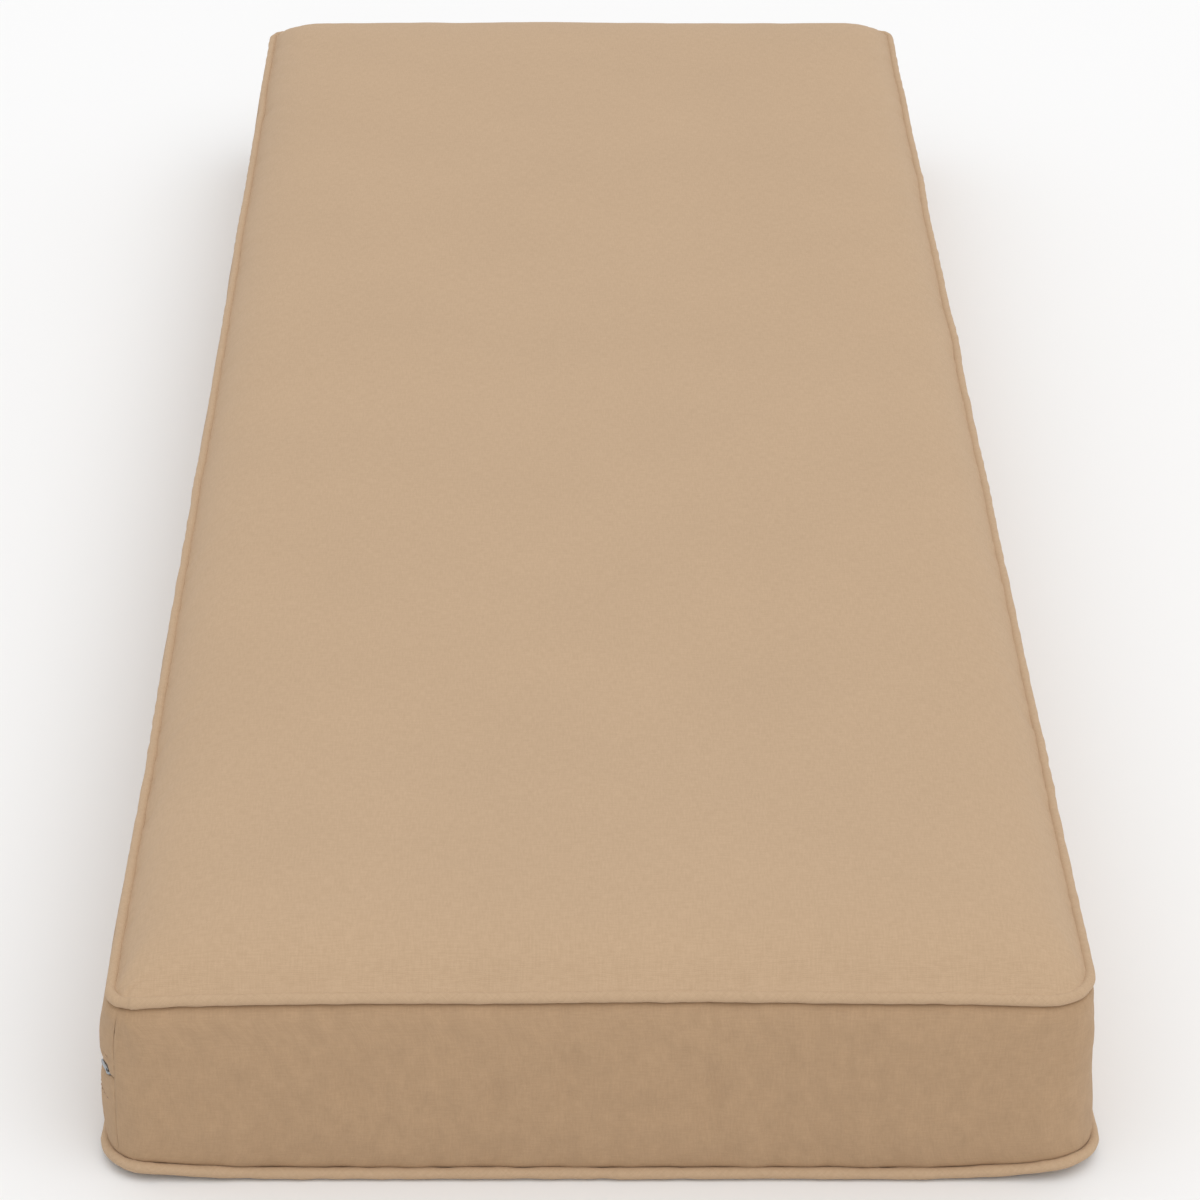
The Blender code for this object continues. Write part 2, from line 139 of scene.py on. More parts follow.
TOP_PANEL = (
    ("seam", -4.6, 98.9, 2.0, 0.0, 1.0, 0.0, 1.0),
    ("root", -5.3, 99.9, 2.0, 0.0, 1.0, 0.0, 1.0),
    ("valley", -6.3, 100.6, 2.0, 0.0, 1.0, 0.0, 1.0),
    ("foot", -8.2, 103.0, 2.0, 0.0, 0.9, 0.0, 0.9),
    ("low", -11.6, 107.6, 2.0, 0.0, 0.8, 0.0, 0.7),
    ("mid_low", -17.0, 112.4, 2.0, 0.0, 0.7, 0.0, 0.5),
    ("mid", -25.0, 116.6, 2.0, 0.0, 0.6, 0.0, 0.3),
    ("high", -38.0, 120.2, 2.0, 0.0, 0.4, 0.0, 0.1),
    ("rim", -60.0, 122.8, 2.0, 0.0, 0.2, 0.0, 0.0),
    ("crown_outer", -98.0, 124.4, 2.0, 0.0, 0.0, 0.0, 0.0),
    ("crown", -160.0, 124.9, 2.0, 0.0, 0.0, 0.0, 0.0),
    ("middle", -221.0, 125.0, 2.0, 0.0, 0.0, 0.0, 0.0),
)
# Along the front the panel lies right up on the cord, with no groove between them.
TOP_PANEL_FRONT = (
    ("seam", -2.6, 99.9, 2.0, 0.0, 1.0, 0.0, 1.0),
    ("root", -3.3, 100.8, 2.0, 0.0, 1.0, 0.0, 1.0),
    ("valley", -4.9, 101.5, 2.0, 0.0, 1.0, 0.0, 1.0),
    ("foot", -7.6, 103.4, 2.0, 0.0, 0.9, 0.0, 0.9),
    *TOP_PANEL[4:],
)


def rows(columns, table):
    return [dict(zip(columns, values)) for values in table]


CORNER_ROWS = rows(CORNER_COLUMNS, CORNERS)
SIDE_ROWS = rows(SIDE_COLUMNS, SIDES)
CORNER_TABLE = {
    key: np.array([row[key] for row in CORNER_ROWS], float)
    for key in ("sx", "sy", "base", "box", "top", "lift", "droop")
}


# ---------------------------------------------------------------- plan outline
def make_stations():
    """corner, degrees (or nan on a side) and share along the side, round the outline."""
    corner, degrees, share = [], [], []
    for index, side in enumerate(SIDE_ROWS):
        for angle in CORNER_STEPS:
            corner.append(index)
            degrees.append(angle)
            share.append(0.0)
        for step in range(1, side["steps"] + 1):
            even = step / (side["steps"] + 1)
            crowded = 0.5 - 0.5 * math.cos(math.pi * even)
            corner.append(index)
            degrees.append(math.nan)
            share.append(even + (crowded - even) * 0.16)
    return np.array(corner), np.array(degrees), np.array(share)


CORNER, DEGREES, SHARE = make_stations()
COUNT = len(CORNER)
ON_CORNER = ~np.isnan(DEGREES)
NEXT = (CORNER + 1) % 4


def take(stations, *values):
    return [np.asarray(v)[stations] for v in values]


def plan(out, level, bulge, stations=None):
    """Where the stations lie in plan (mm) on the ring `out`, and their outward directions.

    out, level and bulge are numbers or one value for each station."""
    keep = np.arange(COUNT) if stations is None else stations
    corner, degrees, share, following = take(keep, CORNER, DEGREES, SHARE, NEXT)
    n = len(keep)
    out, level, bulge = (np.broadcast_to(np.asarray(v, float), n) for v in (out, level, bulge))
    extent = {
        side["name"]: (TOP_LENGTH if side["name"] in ("front", "back") else TOP_WIDTH) / 2
        + out
        + side["bulge"] * bulge
        for side in SIDE_ROWS
    }
    limit = np.minimum.reduce(list(extent.values())) - 0.5

    def arc(which, angle):
        low = np.where(level <= 1.0, CORNER_TABLE["base"][which], CORNER_TABLE["box"][which])
        high = np.where(level <= 1.0, CORNER_TABLE["box"][which], CORNER_TABLE["top"][which])
        radius = low + (high - low) * np.where(level <= 1.0, level, level - 1.0)
        inside = BASE_SPREAD * np.maximum(0.0, 1.0 - level) - out
        radius = radius - np.clip(inside, -20.0, 6.6) + np.maximum(0.0, inside - 6.6) * 0.9
        radius = np.minimum(radius, limit)
        sx, sy = CORNER_TABLE["sx"][which], CORNER_TABLE["sy"][which]
        wide = np.where(sx < 0, extent["left"], extent["right"])
        long = np.where(sy < 0, extent["front"], extent["back"])
        turn = np.radians(angle)
        return np.stack(
            [
                sx * (wide - radius) + radius * np.cos(turn),
                sy * (long - radius) + radius * np.sin(turn),
            ],
            1,
        )

    on_arc = ~np.isnan(degrees)
    tight = np.clip(level - 1.0, 0.0, 1.0)
    lean = SEAM_LEAN[corner] * (0.4 * tight + 0.6 * tight**2)
    degrees = degrees + lean * np.sin(np.radians(degrees * 2.0))
    angle = START_ANGLE[corner] + np.where(on_arc, degrees, 90.0)
    first = arc(corner, angle)
    last = arc(following, START_ANGLE[following])
    along = last - first
    along /= np.linalg.norm(along, axis=1)[:, None]
    inward = np.stack([-along[:, 1], along[:, 0]], 1)
    draw_in = np.array([side["draw_in"] for side in SIDE_ROWS])[corner]
    bow = draw_in * 4.0 * share * (1.0 - share)
    on_side = first + (last - first) * share[:, None] + inward * bow[:, None]
    turn = np.radians(START_ANGLE[corner] + np.where(on_arc, degrees, 0.0))
    outward = np.where(
        on_arc[:, None], np.stack([np.cos(turn), np.sin(turn)], 1), -inward
    )
    return np.where(on_arc[:, None], first, on_side), outward


def corner_weights(keep):
    corner, share, following, on_arc = take(keep, CORNER, SHARE, NEXT, ON_CORNER)
    side = np.array([row["size"] for row in SIDE_ROWS])[corner]
    near = np.maximum(0.0, 1.0 - share * side / CORNER_REACH) ** 2
    far = np.maximum(0.0, 1.0 - (1.0 - share) * side / CORNER_REACH) ** 2
    weights = np.zeros((len(keep), 4))
    at = np.arange(len(keep))
    weights[at, corner] = np.where(on_arc, 1.0, near)
    weights[at, following] += np.where(on_arc, 0.0, far)
    return weights


def sway_height(z, share, keep):
    """Height added near the corners: the bottom seam lifts and the top seam droops."""
    up = np.minimum(np.asarray(z, float) / PIPING_TOP, 1.0)
    each = CORNER_TABLE["lift"] * (1.0 - up)[..., None] - CORNER_TABLE["droop"] * up[..., None]
    return (corner_weights(keep) * each).sum(-1) * share


# Distance along the outline, at the middle of the boxing.
_ring, _ = plan(4.5, 1.0, 1.0)
_step = np.linalg.norm(np.roll(_ring, -1, 0) - _ring, axis=1)
ALONG = np.concatenate([[0.0], np.cumsum(_step)[:-1]])
ROUND_IT = float(_step.sum())
FRONT_START = float(ALONG[len(CORNER_STEPS) - 1])  # where the front left corner ends


# ---------------------------------------------------------------- unevenness
def waver(seed, along, spans, size, closed=True):
    """A smooth uneven line: waves of the given lengths (mm) with seeded phases."""
    source = np.random.default_rng(seed)
    total = np.zeros(len(along))
    for span, share in spans:
        for _ in range(3):
            turns = ROUND_IT / span * source.uniform(0.75, 1.3)
            turns = max(1, round(turns)) if closed else turns
            phase = source.uniform(0.0, 2.0 * math.pi)
            total += share * np.sin(2.0 * math.pi * turns * along / ROUND_IT + phase)
    return total * size / sum(share for _, share in spans)


SEAM_SPANS = ((420.0, 1.0), (190.0, 0.9), (95.0, 0.6), (48.0, 0.35))


def bumps(along, table):
    """The sum of soft bumps: (where along the outline, half width, height)."""
    total = np.zeros(len(along))
    for at, width, height in table:
        gap = (along - at + ROUND_IT / 2) % ROUND_IT - ROUND_IT / 2
        total += height * np.exp(-((gap / width) ** 2))
    return total


def front(x):
    """Distance along the outline of a point of the front side, given its X."""
    return FRONT_START + (x + TOP_WIDTH / 2 + 4.5 - 25.0)


def right(y):
    return FRONT_START + (TOP_WIDTH + 9.0 - 50.0) + 39.3 + (y + TOP_LENGTH / 2 - 20.0)


def left(y):
    return ROUND_IT - (y + TOP_LENGTH / 2 + 4.5 - 25.0)


# Places where the seams stand out of line: along, half width, amount.
TOP_SEAM_RISE = (
    (front(-172.0), 30.0, -0.35),
    (front(-70.0), 60.0, 0.35),
    (front(60.0), 85.0, 0.85),
    (front(196.0), 30.0, -0.25),
)
TOP_SEAM_SHIFT = (
    (right(316.0), 22.0, 0.9),
    (right(255.0), 16.0, -0.4),
    (right(70.0), 26.0, 0.9),
    (left(482.0), 24.0, 0.7),
    (left(440.0), 16.0, -0.5),
    (left(-104.0), 20.0, 0.6),
)
TOP_RISE = waver(11, ALONG, SEAM_SPANS, 0.24) + bumps(ALONG, TOP_SEAM_RISE)
TOP_SHIFT = waver(12, ALONG, SEAM_SPANS, 0.30) + bumps(ALONG, TOP_SEAM_SHIFT)
BASE_SEAM_RISE = (
    (front(186.0), 18.0, -0.45),
    (front(216.0), 16.0, 0.9),
)
BASE_RISE = waver(13, ALONG, SEAM_SPANS, 0.15) + bumps(ALONG, BASE_SEAM_RISE)
BASE_SHIFT = waver(14, ALONG, SEAM_SPANS, 0.30)


# ---------------------------------------------------------------- section
def hermite(knots, values, at):
    """Smooth curve through values at the knots, for each column of values."""
    slopes = np.empty_like(values)
    step = np.diff(knots)[:, None]
    rise = np.diff(values, axis=0) / step
    slopes[1:-1] = (rise[:-1] * step[1:] + rise[1:] * step[:-1]) / (step[1:] + step[:-1])
    slopes[0], slopes[-1] = rise[0], rise[-1]
    k = np.clip(np.searchsorted(knots, at, side="right") - 1, 0, len(knots) - 2)
    width = (knots[k + 1] - knots[k])[:, None]
    t = (at - knots[k])[:, None] / width
    return (
        (2 * t**3 - 3 * t**2 + 1) * values[k]
        + (t**3 - 2 * t**2 + t) * width * slopes[k]
        + (-2 * t**3 + 3 * t**2) * values[k + 1]
        + (t**3 - t**2) * width * slopes[k + 1]
    )


def spread_rows(total, first, most, last):
    """Distances from 0 to total, with short steps at the ends that grow to `most`."""
    found, at = [0.0], 0.0
    while at < total:
        step = min(most, first + at * 0.22, last + max(0.0, total - at) * 0.22)
        at += step
        found.append(at)
    return np.array(found) * total / found[-1]


def sample_section(table, first, most, last, shares=None):
    """Columns out, z, level, bulge, sway, base, top, and the distance along the section."""
    named = rows(SECTION_COLUMNS, table)
    values = np.array([[row[key] for key in SECTION_COLUMNS[1:]] for row in named], float)
    gaps = np.linalg.norm(np.diff(values[:, :2], axis=0), axis=1)
    knots = np.concatenate([[0.0], np.cumsum(gaps)])
    if shares is None:
        at = spread_rows(knots[-1], first, most, last)
    else:
        at = shares * knots[-1]
    found = hermite(knots, values, at)
    for column in range(2, values.shape[1]):
        found[:, column] = np.interp(at, knots, values[:, column])
    return found, at


BOX_FINE, BOX_AT = sample_section(BOXING, 0.8, 3.1, 0.8)
TOP_FINE, TOP_AT = sample_section(TOP_PANEL, 0.8, 7.5, 60.0)
TOP_FRONT_FINE, _ = sample_section(TOP_PANEL_FRONT, 0, 0, 0, TOP_AT / TOP_AT[-1])
UNDER_FINE, UNDER_AT = sample_section(UNDERSIDE, 60.0, 16.0, 1.2)
CROWN_LINE, _ = sample_section(TOP_PANEL[4:], 1.0, 1.0, 1.0)
CROWN_TOP = 125.0


def crown_height(x, y):
    """Height of the crown over a point in plan: both pairs of sides draw it down."""
    drops = [
        CROWN_TOP - np.interp(half - abs(at), -CROWN_LINE[:, 0], CROWN_LINE[:, 1])
        for half, at in ((TOP_WIDTH / 2, x), (TOP_LENGTH / 2, y))
    ]
    return CROWN_TOP - np.hypot(*drops)


def ease(value):
    """0 to 1 smoothly, for a value that goes from 0 to 1."""
    t = np.clip(value, 0.0, 1.0)
    return t * t * (3.0 - 2.0 * t)


def boxing_at(z):
    """The boxing's out, level, bulge and shares of the seams' waver at a height."""
    return [np.interp(z, BOX_FINE[:, 1], BOX_FINE[:, k]) for k in (0, 2, 3, 5, 6)]


def of_sides(front_side, right_side, back_side, left_side):
    """A value for each station from one for each side, blended round the corners."""
    each = np.array([front_side, right_side, back_side, left_side])
    share = ease(np.where(ON_CORNER, np.nan_to_num(DEGREES) / 90.0, 1.0))
    return each[(CORNER - 1) % 4] * (1.0 - share) + each[CORNER] * share


SHOULDER_SET_IN = of_sides(0.0, 2.3, 0.6, 1.2)


def set_in(z, keep):
    """How far the boxing's shoulder lies behind its own line at a height."""
    near = np.exp(-(((np.asarray(z, float) - 85.0) / 10.0) ** 2))
    return SHOULDER_SET_IN[keep] * near * ease((95.5 - np.asarray(z, float)) / 4.0)


def place(out, z, level, bulge, sway, base, top, stations=None):
    """Points (mm) of one ring, with the corners' sway and the seams' waver."""
    keep = np.arange(COUNT) if stations is None else stations
    out = out - set_in(z, keep)
    shift = base * BASE_SHIFT[keep] + top * TOP_SHIFT[keep]
    rise = base * BASE_RISE[keep] + top * TOP_RISE[keep]
    flat, outward = plan(out, level, bulge, keep)
    flat = flat + outward * shift[:, None]
    z = np.broadcast_to(np.asarray(z, float), len(keep))
    height = z + sway_height(z, sway, keep) + rise
    return np.column_stack([flat, height])


def on_boxing(z, off, keep):
    out, level, bulge, base, top = boxing_at(z)
    return place(out + off, z, level, bulge, 1.0, base, top, keep)


IS_ZIP_SIDE = ((CORNER == 0) & ON_CORNER & (DEGREES <= 43.8)) | (
    (CORNER == 3) & (~ON_CORNER | (DEGREES >= 46.2))
)
IN_SEAM_GROOVE = ON_CORNER & ((CORNER == 0) | (CORNER == 3)) & (np.abs(DEGREES - 45.0) < 3.0)
_zip_first = np.where((CORNER == 3) & ON_CORNER & (DEGREES >= 46.2))[0][0]
ZIP_STATIONS = (_zip_first + np.arange(IS_ZIP_SIDE.sum())) % COUNT


def clear_of_seam(keep):
    """0 at the upright seams at the zip's two ends, 1 away from them."""
    corner, degrees, on_arc = take(keep, CORNER, DEGREES, ON_CORNER)
    beside = on_arc & ((corner == 0) | (corner == 3))
    return ease((np.where(beside, np.abs(np.nan_to_num(degrees) - 45.0), 90.0) - 1.0) / 14.0)


# ---------------------------------------------------------------- making objects
def new_object(name, mesh, material):
    made = bpy.data.objects.new(name, mesh)
    bpy.context.scene.collection.objects.link(made)
    mesh.materials.append(material)
    return made


def mesh_of(name, points, faces, uv=None, sharp=None):
    """A mesh from points in mm, polygons of any size, and a UV for each face corner."""
    mesh = bpy.data.meshes.new(name)
    mesh.from_pydata((np.asarray(points, float) * MM).tolist(), [], [list(f) for f in faces])
    mesh.update()
    if uv is not None:
        layer = mesh.uv_layers.new(name="weave")
        layer.uv.foreach_set("vector", np.asarray(uv, np.float32).ravel())
    mesh.shade_smooth()
    if sharp is not None:
        mesh.set_sharp_from_angle(angle=math.radians(sharp))
    return mesh


def ring_faces(row_count, count, start=0, closed=True):
    """Quads between successive rings of `count` points."""
    k = np.arange(count if closed else count - 1)
    n = (k + 1) % count
    faces = []
    for row in range(row_count - 1):
        a, b = start + row * count, start + (row + 1) * count
        faces.append(np.stack([a + k, a + n, b + n, b + k], 1))
    return np.concatenate(faces)


def grid_normals(points):
    """Outward normals of a closed band of rings: rows run upwards, stations anticlockwise."""
    across = np.roll(points, -1, 1) - np.roll(points, 1, 1)
    up = np.gradient(points, axis=0)
    normal = np.cross(across, up)
    return normal / np.maximum(np.linalg.norm(normal, axis=2), 1e-9)[..., None]


# ---------------------------------------------------------------- folds and puckers
# Soft troughs of the boxing's cloth: along the outline, half width, depth, lowest and
# highest height reached.
FOLD_COLUMNS = ("at", "width", "depth", "low", "high")
FOLD_DEPTH = 1.5
BOXING_FOLDS = (
    (front(-78.0), 7.0, 0.63, 20.0, 74.0),
    (front(-50.0), 8.0, 0.80, 26.0, 88.0),
    (front(-20.0), 6.0, 0.71, 16.0, 66.0),
    (front(-2.0), 7.0, -0.46, 24.0, 80.0),
    (front(14.0), 6.0, 0.88, 22.0, 84.0),
    (front(29.0), 6.0, 0.63, 14.0, 62.0),
    (front(50.0), 8.0, 0.97, 18.0, 90.0),
    (front(70.0), 7.0, -0.50, 30.0, 84.0),
    (front(92.0), 8.0, 0.63, 34.0, 92.0),
    (front(128.0), 9.0, 0.55, 20.0, 60.0),
    (front(-118.0), 10.0, 0.55, 44.0, 90.0),
    (front(-160.0), 9.0, 0.46, 16.0, 58.0),
    (front(172.0), 10.0, 0.46, 40.0, 90.0),
)
# Puckers that run up from the top seam over the shoulder: along, half width, depth, reach.
SHOULDER_COLUMNS = ("at", "width", "depth", "reach")
SHOULDER_PUCKERS = (
    (front(-128.0), 6.0, 0.85, 30.0),
    (front(-114.0), 6.0, -0.37, 26.0),
    (front(-52.0), 7.0, 0.61, 26.0),
    (front(-12.0), 5.5, 0.68, 30.0),
    (front(8.0), 5.0, 0.78, 36.0),
    (front(47.0), 5.5, 0.85, 42.0),
    (front(60.0), 5.0, 0.68, 34.0),
    (front(86.0), 6.0, 0.75, 38.0),
    (front(112.0), 6.5, 0.82, 34.0),
    (front(146.0), 7.0, 0.58, 30.0),
    (front(170.0), 7.0, 0.51, 26.0),
)


def scattered(seed, every, width, depth, low, high):
    """Further folds for the sides that don't show from the front, spread unevenly."""
    source = np.random.default_rng(seed)
    found, at = [], FRONT_START + TOP_WIDTH
    while at < ROUND_IT + FRONT_START - 46.0:
        at += every * source.uniform(0.5, 1.6)
        found.append(
            (
                at,
                width * source.uniform(0.7, 1.4),
                depth * source.uniform(0.45, 1.25) * (1 if source.uniform() < 0.78 else -0.6),
                source.uniform(*low),
                source.uniform(*high),
            )
        )
    return tuple(found)


def trough(gap, width):
    """A soft trough across its own line, with a slight rise on both sides of it."""
    t = (gap / width) ** 2
    return np.exp(-t) - 0.32 * np.exp(-t / 5.0)


def folds_of_boxing(height):
    """How far the boxing's cloth dips at each row (given by its height) and station."""
    total = np.zeros((len(height), COUNT))
    table = BOXING_FOLDS + scattered(21, 31.0, 7.5, 0.36, (12.0, 40.0), (58.0, 92.0))
    for row in rows(FOLD_COLUMNS, table):
        gap = (ALONG - row["at"] + ROUND_IT / 2) % ROUND_IT - ROUND_IT / 2
        middle, half = (row["low"] + row["high"]) / 2, (row["high"] - row["low"]) / 2
        reach = np.exp(-(((height - middle) / half) ** 4))
        lean = gap[None, :] - (height[:, None] - middle) * 0.07 * np.sign(row["depth"])
        total -= FOLD_DEPTH * row["depth"] * reach[:, None] * trough(lean, row["width"])
    # Puckers that the seams gather at the very edges.
    for seed, edge in ((22, height - 6.0), (23, 94.0 - height)):
        gather = waver(seed, ALONG, ((26.0, 1.0), (15.0, 0.6), (44.0, 0.8)), 0.34)
        near = np.maximum(edge, 0.0)
        total += (np.exp(-near / 9.0) * (1 - np.exp(-near / 1.6)))[:, None] * gather[None, :]
    for seed, middle in ((25, 26.0), (26, 48.0), (27, 70.0)):
        ripple = waver(seed, ALONG, ((58.0, 1.0), (33.0, 0.8), (21.0, 0.35)), 0.72)
        total += np.exp(-(((height - middle) / 17.0) ** 2))[:, None] * ripple[None, :]
    broad = waver(24, ALONG, ((230.0, 1.0), (130.0, 0.8), (70.0, 0.4)), 0.34)
    total += np.sin(np.clip(height / 98.0, 0, 1) * math.pi)[:, None] * broad[None, :]
    return total


def folds_of_top(distance):
    """How far the top panel dips at each distance from its seam and each station."""
    total = np.zeros((len(distance), COUNT))
    more = tuple(
        (at, width, depth, 14.0 + low)
        for at, width, depth, low, _ in scattered(31, 27.0, 6.5, 0.40, (8.0, 28.0), (0.0, 1.0))
    )
    for row in rows(SHOULDER_COLUMNS, SHOULDER_PUCKERS + more):
        gap = (ALONG - row["at"] + ROUND_IT / 2) % ROUND_IT - ROUND_IT / 2
        fade = np.exp(-((distance / row["reach"]) ** 2)) * (1 - np.exp(-distance / 2.5))
        width = row["width"] * (1.0 + distance / 40.0)
        t = (gap[None, :] / width[:, None]) ** 2
        total -= row["depth"] * fade[:, None] * (np.exp(-t) - 0.32 * np.exp(-t / 5.0))
    gather = waver(32, ALONG, ((24.0, 1.0), (14.0, 0.5), (46.0, 0.9)), 0.34)
    total += (np.exp(-distance / 10.0) * (1 - np.exp(-distance / 2.0)))[:, None] * gather
    return total


# Where the crown stands out of line: x, y, half widths, amount.
CROWN_BUMPS = (
    (20.0, 570.0, 110.0, 60.0, 1.3),
    (186.0, 575.0, 34.0, 60.0, -2.0),
    (-86.0, 580.0, 16.0, 40.0, -0.6),
)


def top_sag(points):
    """Slow unevenness of the crown, in mm, from where its points lie in plan."""
    x, y = points[..., 0], points[..., 1]
    source = np.random.default_rng(41)
    total = np.zeros(x.shape)
    for span, height in ((560.0, 0.5), (340.0, 0.4), (210.0, 0.22), (120.0, 0.10)):
        for _ in range(3):
            turn = source.uniform(0, math.pi)
            phase = source.uniform(0, 2 * math.pi)
            k = 2 * math.pi / (span * source.uniform(0.8, 1.25))
            total += height * np.sin(
                k * (x * math.cos(turn) + y * math.sin(turn)) + phase
            )
    for at_x, at_y, wide, long, height in CROWN_BUMPS:
        total += height * np.exp(-(((x - at_x) / wide) ** 2) - ((y - at_y) / long) ** 2)
    inside = 1.0 - np.exp(
        -np.maximum(0.0, np.minimum(TOP_WIDTH / 2 - abs(x), TOP_LENGTH / 2 - abs(y))) / 30.0
    )
    return total * inside


# ---------------------------------------------------------------- cloth simulation
SIM_FRAMES = 18
SIM_ROW_SPACING = 5.0
SIM_TOP_REACH = 82.0  # distance from the top seam that is left free
SIM_CAP = 5.0  # most that any point may move
SIM_PROFILE_KEPT = 0.15  # share kept of what moves a whole side alike


def coarse_rows(at, spacing, reach):
    """Rows about `spacing` apart out to `reach`, with the first and the outermost."""
    end = int(np.searchsorted(at, reach)) if reach < at[-1] else len(at) - 1
    chosen = [0]
    for k in range(1, end):
        if at[k] - at[chosen[-1]] >= spacing and at[end] - at[k] > spacing * 0.6:
            chosen.append(k)
    return np.array([*chosen, end])


def along_mean(values, width):
    """Smooth mean round the outline (axis 1), `width` stations either way."""
    count = values.shape[1]
    k = np.minimum(np.arange(count), count - np.arange(count))
    kernel = np.exp(-0.5 * (k / width) ** 2)
    kernel /= kernel.sum()
    spread = np.fft.rfft(kernel)
    shape = (1, -1) + (1,) * (values.ndim - 2)
    return np.fft.irfft(np.fft.rfft(values, axis=1) * spread.reshape(shape), count, axis=1)


def settle(boxing, top):
    """Blows the sewn cover up on its filling and returns how each point then moves.

    The cover is a copy with fewer rows. Its seams, its underside, the zip's side and the
    middle of the crown are held. The free cloth is cut a little full, unevenly along the
    seams, so that it gathers and folds as it fills."""
    box_rows = coarse_rows(BOX_AT, SIM_ROW_SPACING, BOX_AT[-1])
    top_rows = coarse_rows(TOP_AT, SIM_ROW_SPACING, SIM_TOP_REACH)
    grid = np.concatenate([boxing[box_rows], top[top_rows]])
    row_count, count = grid.shape[:2]
    points = grid.reshape(-1, 3) * MM
    quads = ring_faces(row_count, count)
    mesh = bpy.data.meshes.new("cover_sim")
    mesh.from_pydata(points.tolist(), [], quads.tolist())
    mesh.update()
    cover = bpy.data.objects.new("cover_sim", mesh)
    bpy.context.scene.collection.objects.link(cover)

    distance = np.concatenate([BOX_AT[box_rows], TOP_AT[top_rows]])
    to_seam = np.concatenate(
        [
            np.minimum(BOX_AT[box_rows], BOX_AT[-1] - BOX_AT[box_rows]),
            TOP_AT[top_rows],
        ]
    )
    is_top = np.arange(row_count) >= len(box_rows)
    held = np.zeros((row_count, count))
    held[0] = held[len(box_rows) - 1] = held[len(box_rows)] = held[-1] = 1.0
    held[:, IS_ZIP_SIDE] = np.where(is_top, held[:, 0], 1.0)[:, None]
    # The filling holds the crown: more so towards its middle.
    fade = np.clip((distance - 40.0) / (SIM_TOP_REACH - 40.0), 0.0, 1.0)
    held = np.maximum(held, np.where(is_top, 0.6 * fade**2, 0.0)[:, None])

    fullness = waver(71, ALONG, ((120.0, 1.0), (52.0, 1.0), (27.0, 0.8)), 1.0)
    uneven = 0.5 + 0.5 * np.clip(fullness, -1.0, 1.0)
    full = uneven[None, :] * np.exp(-to_seam / 34.0)[:, None]
    full += 0.35 * np.exp(-to_seam / 60.0)[:, None]
    full = np.clip(full, 0.0, 1.0)

    def group(name, weights):
        made = cover.vertex_groups.new(name=name)
        flat = weights.reshape(-1)
        for step in range(0, 41):
            low, high = (step - 0.5) / 40.0, (step + 0.5) / 40.0
            which = np.nonzero((flat > low) & (flat <= high))[0]
            if len(which) and step:
                made.add(which.tolist(), step / 40.0, "REPLACE")
        return made.name

    cloth = cover.modifiers.new("fill", "CLOTH")
    setup = cloth.settings
    setup.quality = 5
    setup.mass = 0.25
    setup.tension_stiffness = 25.0
    setup.compression_stiffness = 25.0
    setup.shear_stiffness = 8.0
    setup.bending_stiffness = 0.25
    setup.air_damping = 2.0
    setup.use_pressure = True
    setup.uniform_pressure_force = 4.0
    setup.vertex_group_mass = group("held", held)
    setup.pin_stiffness = 1.0
    setup.vertex_group_shrink = group("full", full)
    setup.shrink_min = 0.0
    setup.shrink_max = -0.075
    setup.effector_weights.gravity = 0.0
    cloth.collision_settings.use_collision = False
    cloth.collision_settings.use_self_collision = False
    scene = bpy.context.scene
    cloth.point_cache.frame_start = 1
    cloth.point_cache.frame_end = SIM_FRAMES
    scene.frame_start, scene.frame_end = 1, SIM_FRAMES
    for number in range(1, SIM_FRAMES + 1):
        scene.frame_set(number)
    bpy.context.view_layer.objects.active = cover
    cover.select_set(True)
    bpy.ops.object.modifier_apply(modifier=cloth.name)
    settled = np.empty(len(points) * 3, np.float32)
    cover.data.vertices.foreach_get("co", settled)
    moved = (settled.reshape(-1, 3) - points).reshape(row_count, count, 3) / MM
    scene.frame_set(1)
    bpy.data.objects.remove(cover)

    moved[np.isnan(moved)] = 0.0
    # The tables already give the filled section: what is left is where the cloth gathers.
    ox, oy = plan(4.5, 1.0, 1.0)[1].T
    outwards = moved[..., 0] * ox + moved[..., 1] * oy
    sideways = moved[..., 1] * ox - moved[..., 0] * oy
    own = np.stack([outwards, sideways, moved[..., 2]], 2)
    own -= (1.0 - SIM_PROFILE_KEPT) * along_mean(own, 10.0)
    own *= (1.0 - 0.75 * corner_weights(np.arange(COUNT)).max(1))[None, :, None]
    own *= (1.0 - np.where(is_top, ease((distance - 30.0) / (SIM_TOP_REACH - 32.0)), 0.0))[
        :, None, None
    ]
    moved = np.stack(
        [own[..., 0] * ox - own[..., 1] * oy, own[..., 0] * oy + own[..., 1] * ox, own[..., 2]], 2
    )
    moved[0] = moved[len(box_rows) - 1] = moved[len(box_rows)] = moved[-1] = 0.0
    size = np.linalg.norm(moved, axis=2)
    moved *= (np.tanh(size / SIM_CAP) * SIM_CAP / np.maximum(size, 1e-9))[..., None]
    moved[:, IS_ZIP_SIDE] *= np.where(is_top, 1.0, 0.0)[:, None, None]

    # Back on the fine rows.
    result = []
    for part, rows_used, at in (
        (moved[: len(box_rows)], box_rows, BOX_AT),
        (moved[len(box_rows) :], top_rows, TOP_AT),
    ):
        flat = part.reshape(part.shape[0], -1)
        found = np.zeros((len(at), COUNT, 3))
        free = at <= at[rows_used[-1]]
        found[free] = hermite(at[rows_used], flat, at[free]).reshape(-1, COUNT, 3)
        result.append(found)
    print("cloth simulation moved points by up to", round(float(size.max()), 2), "mm")
    return result


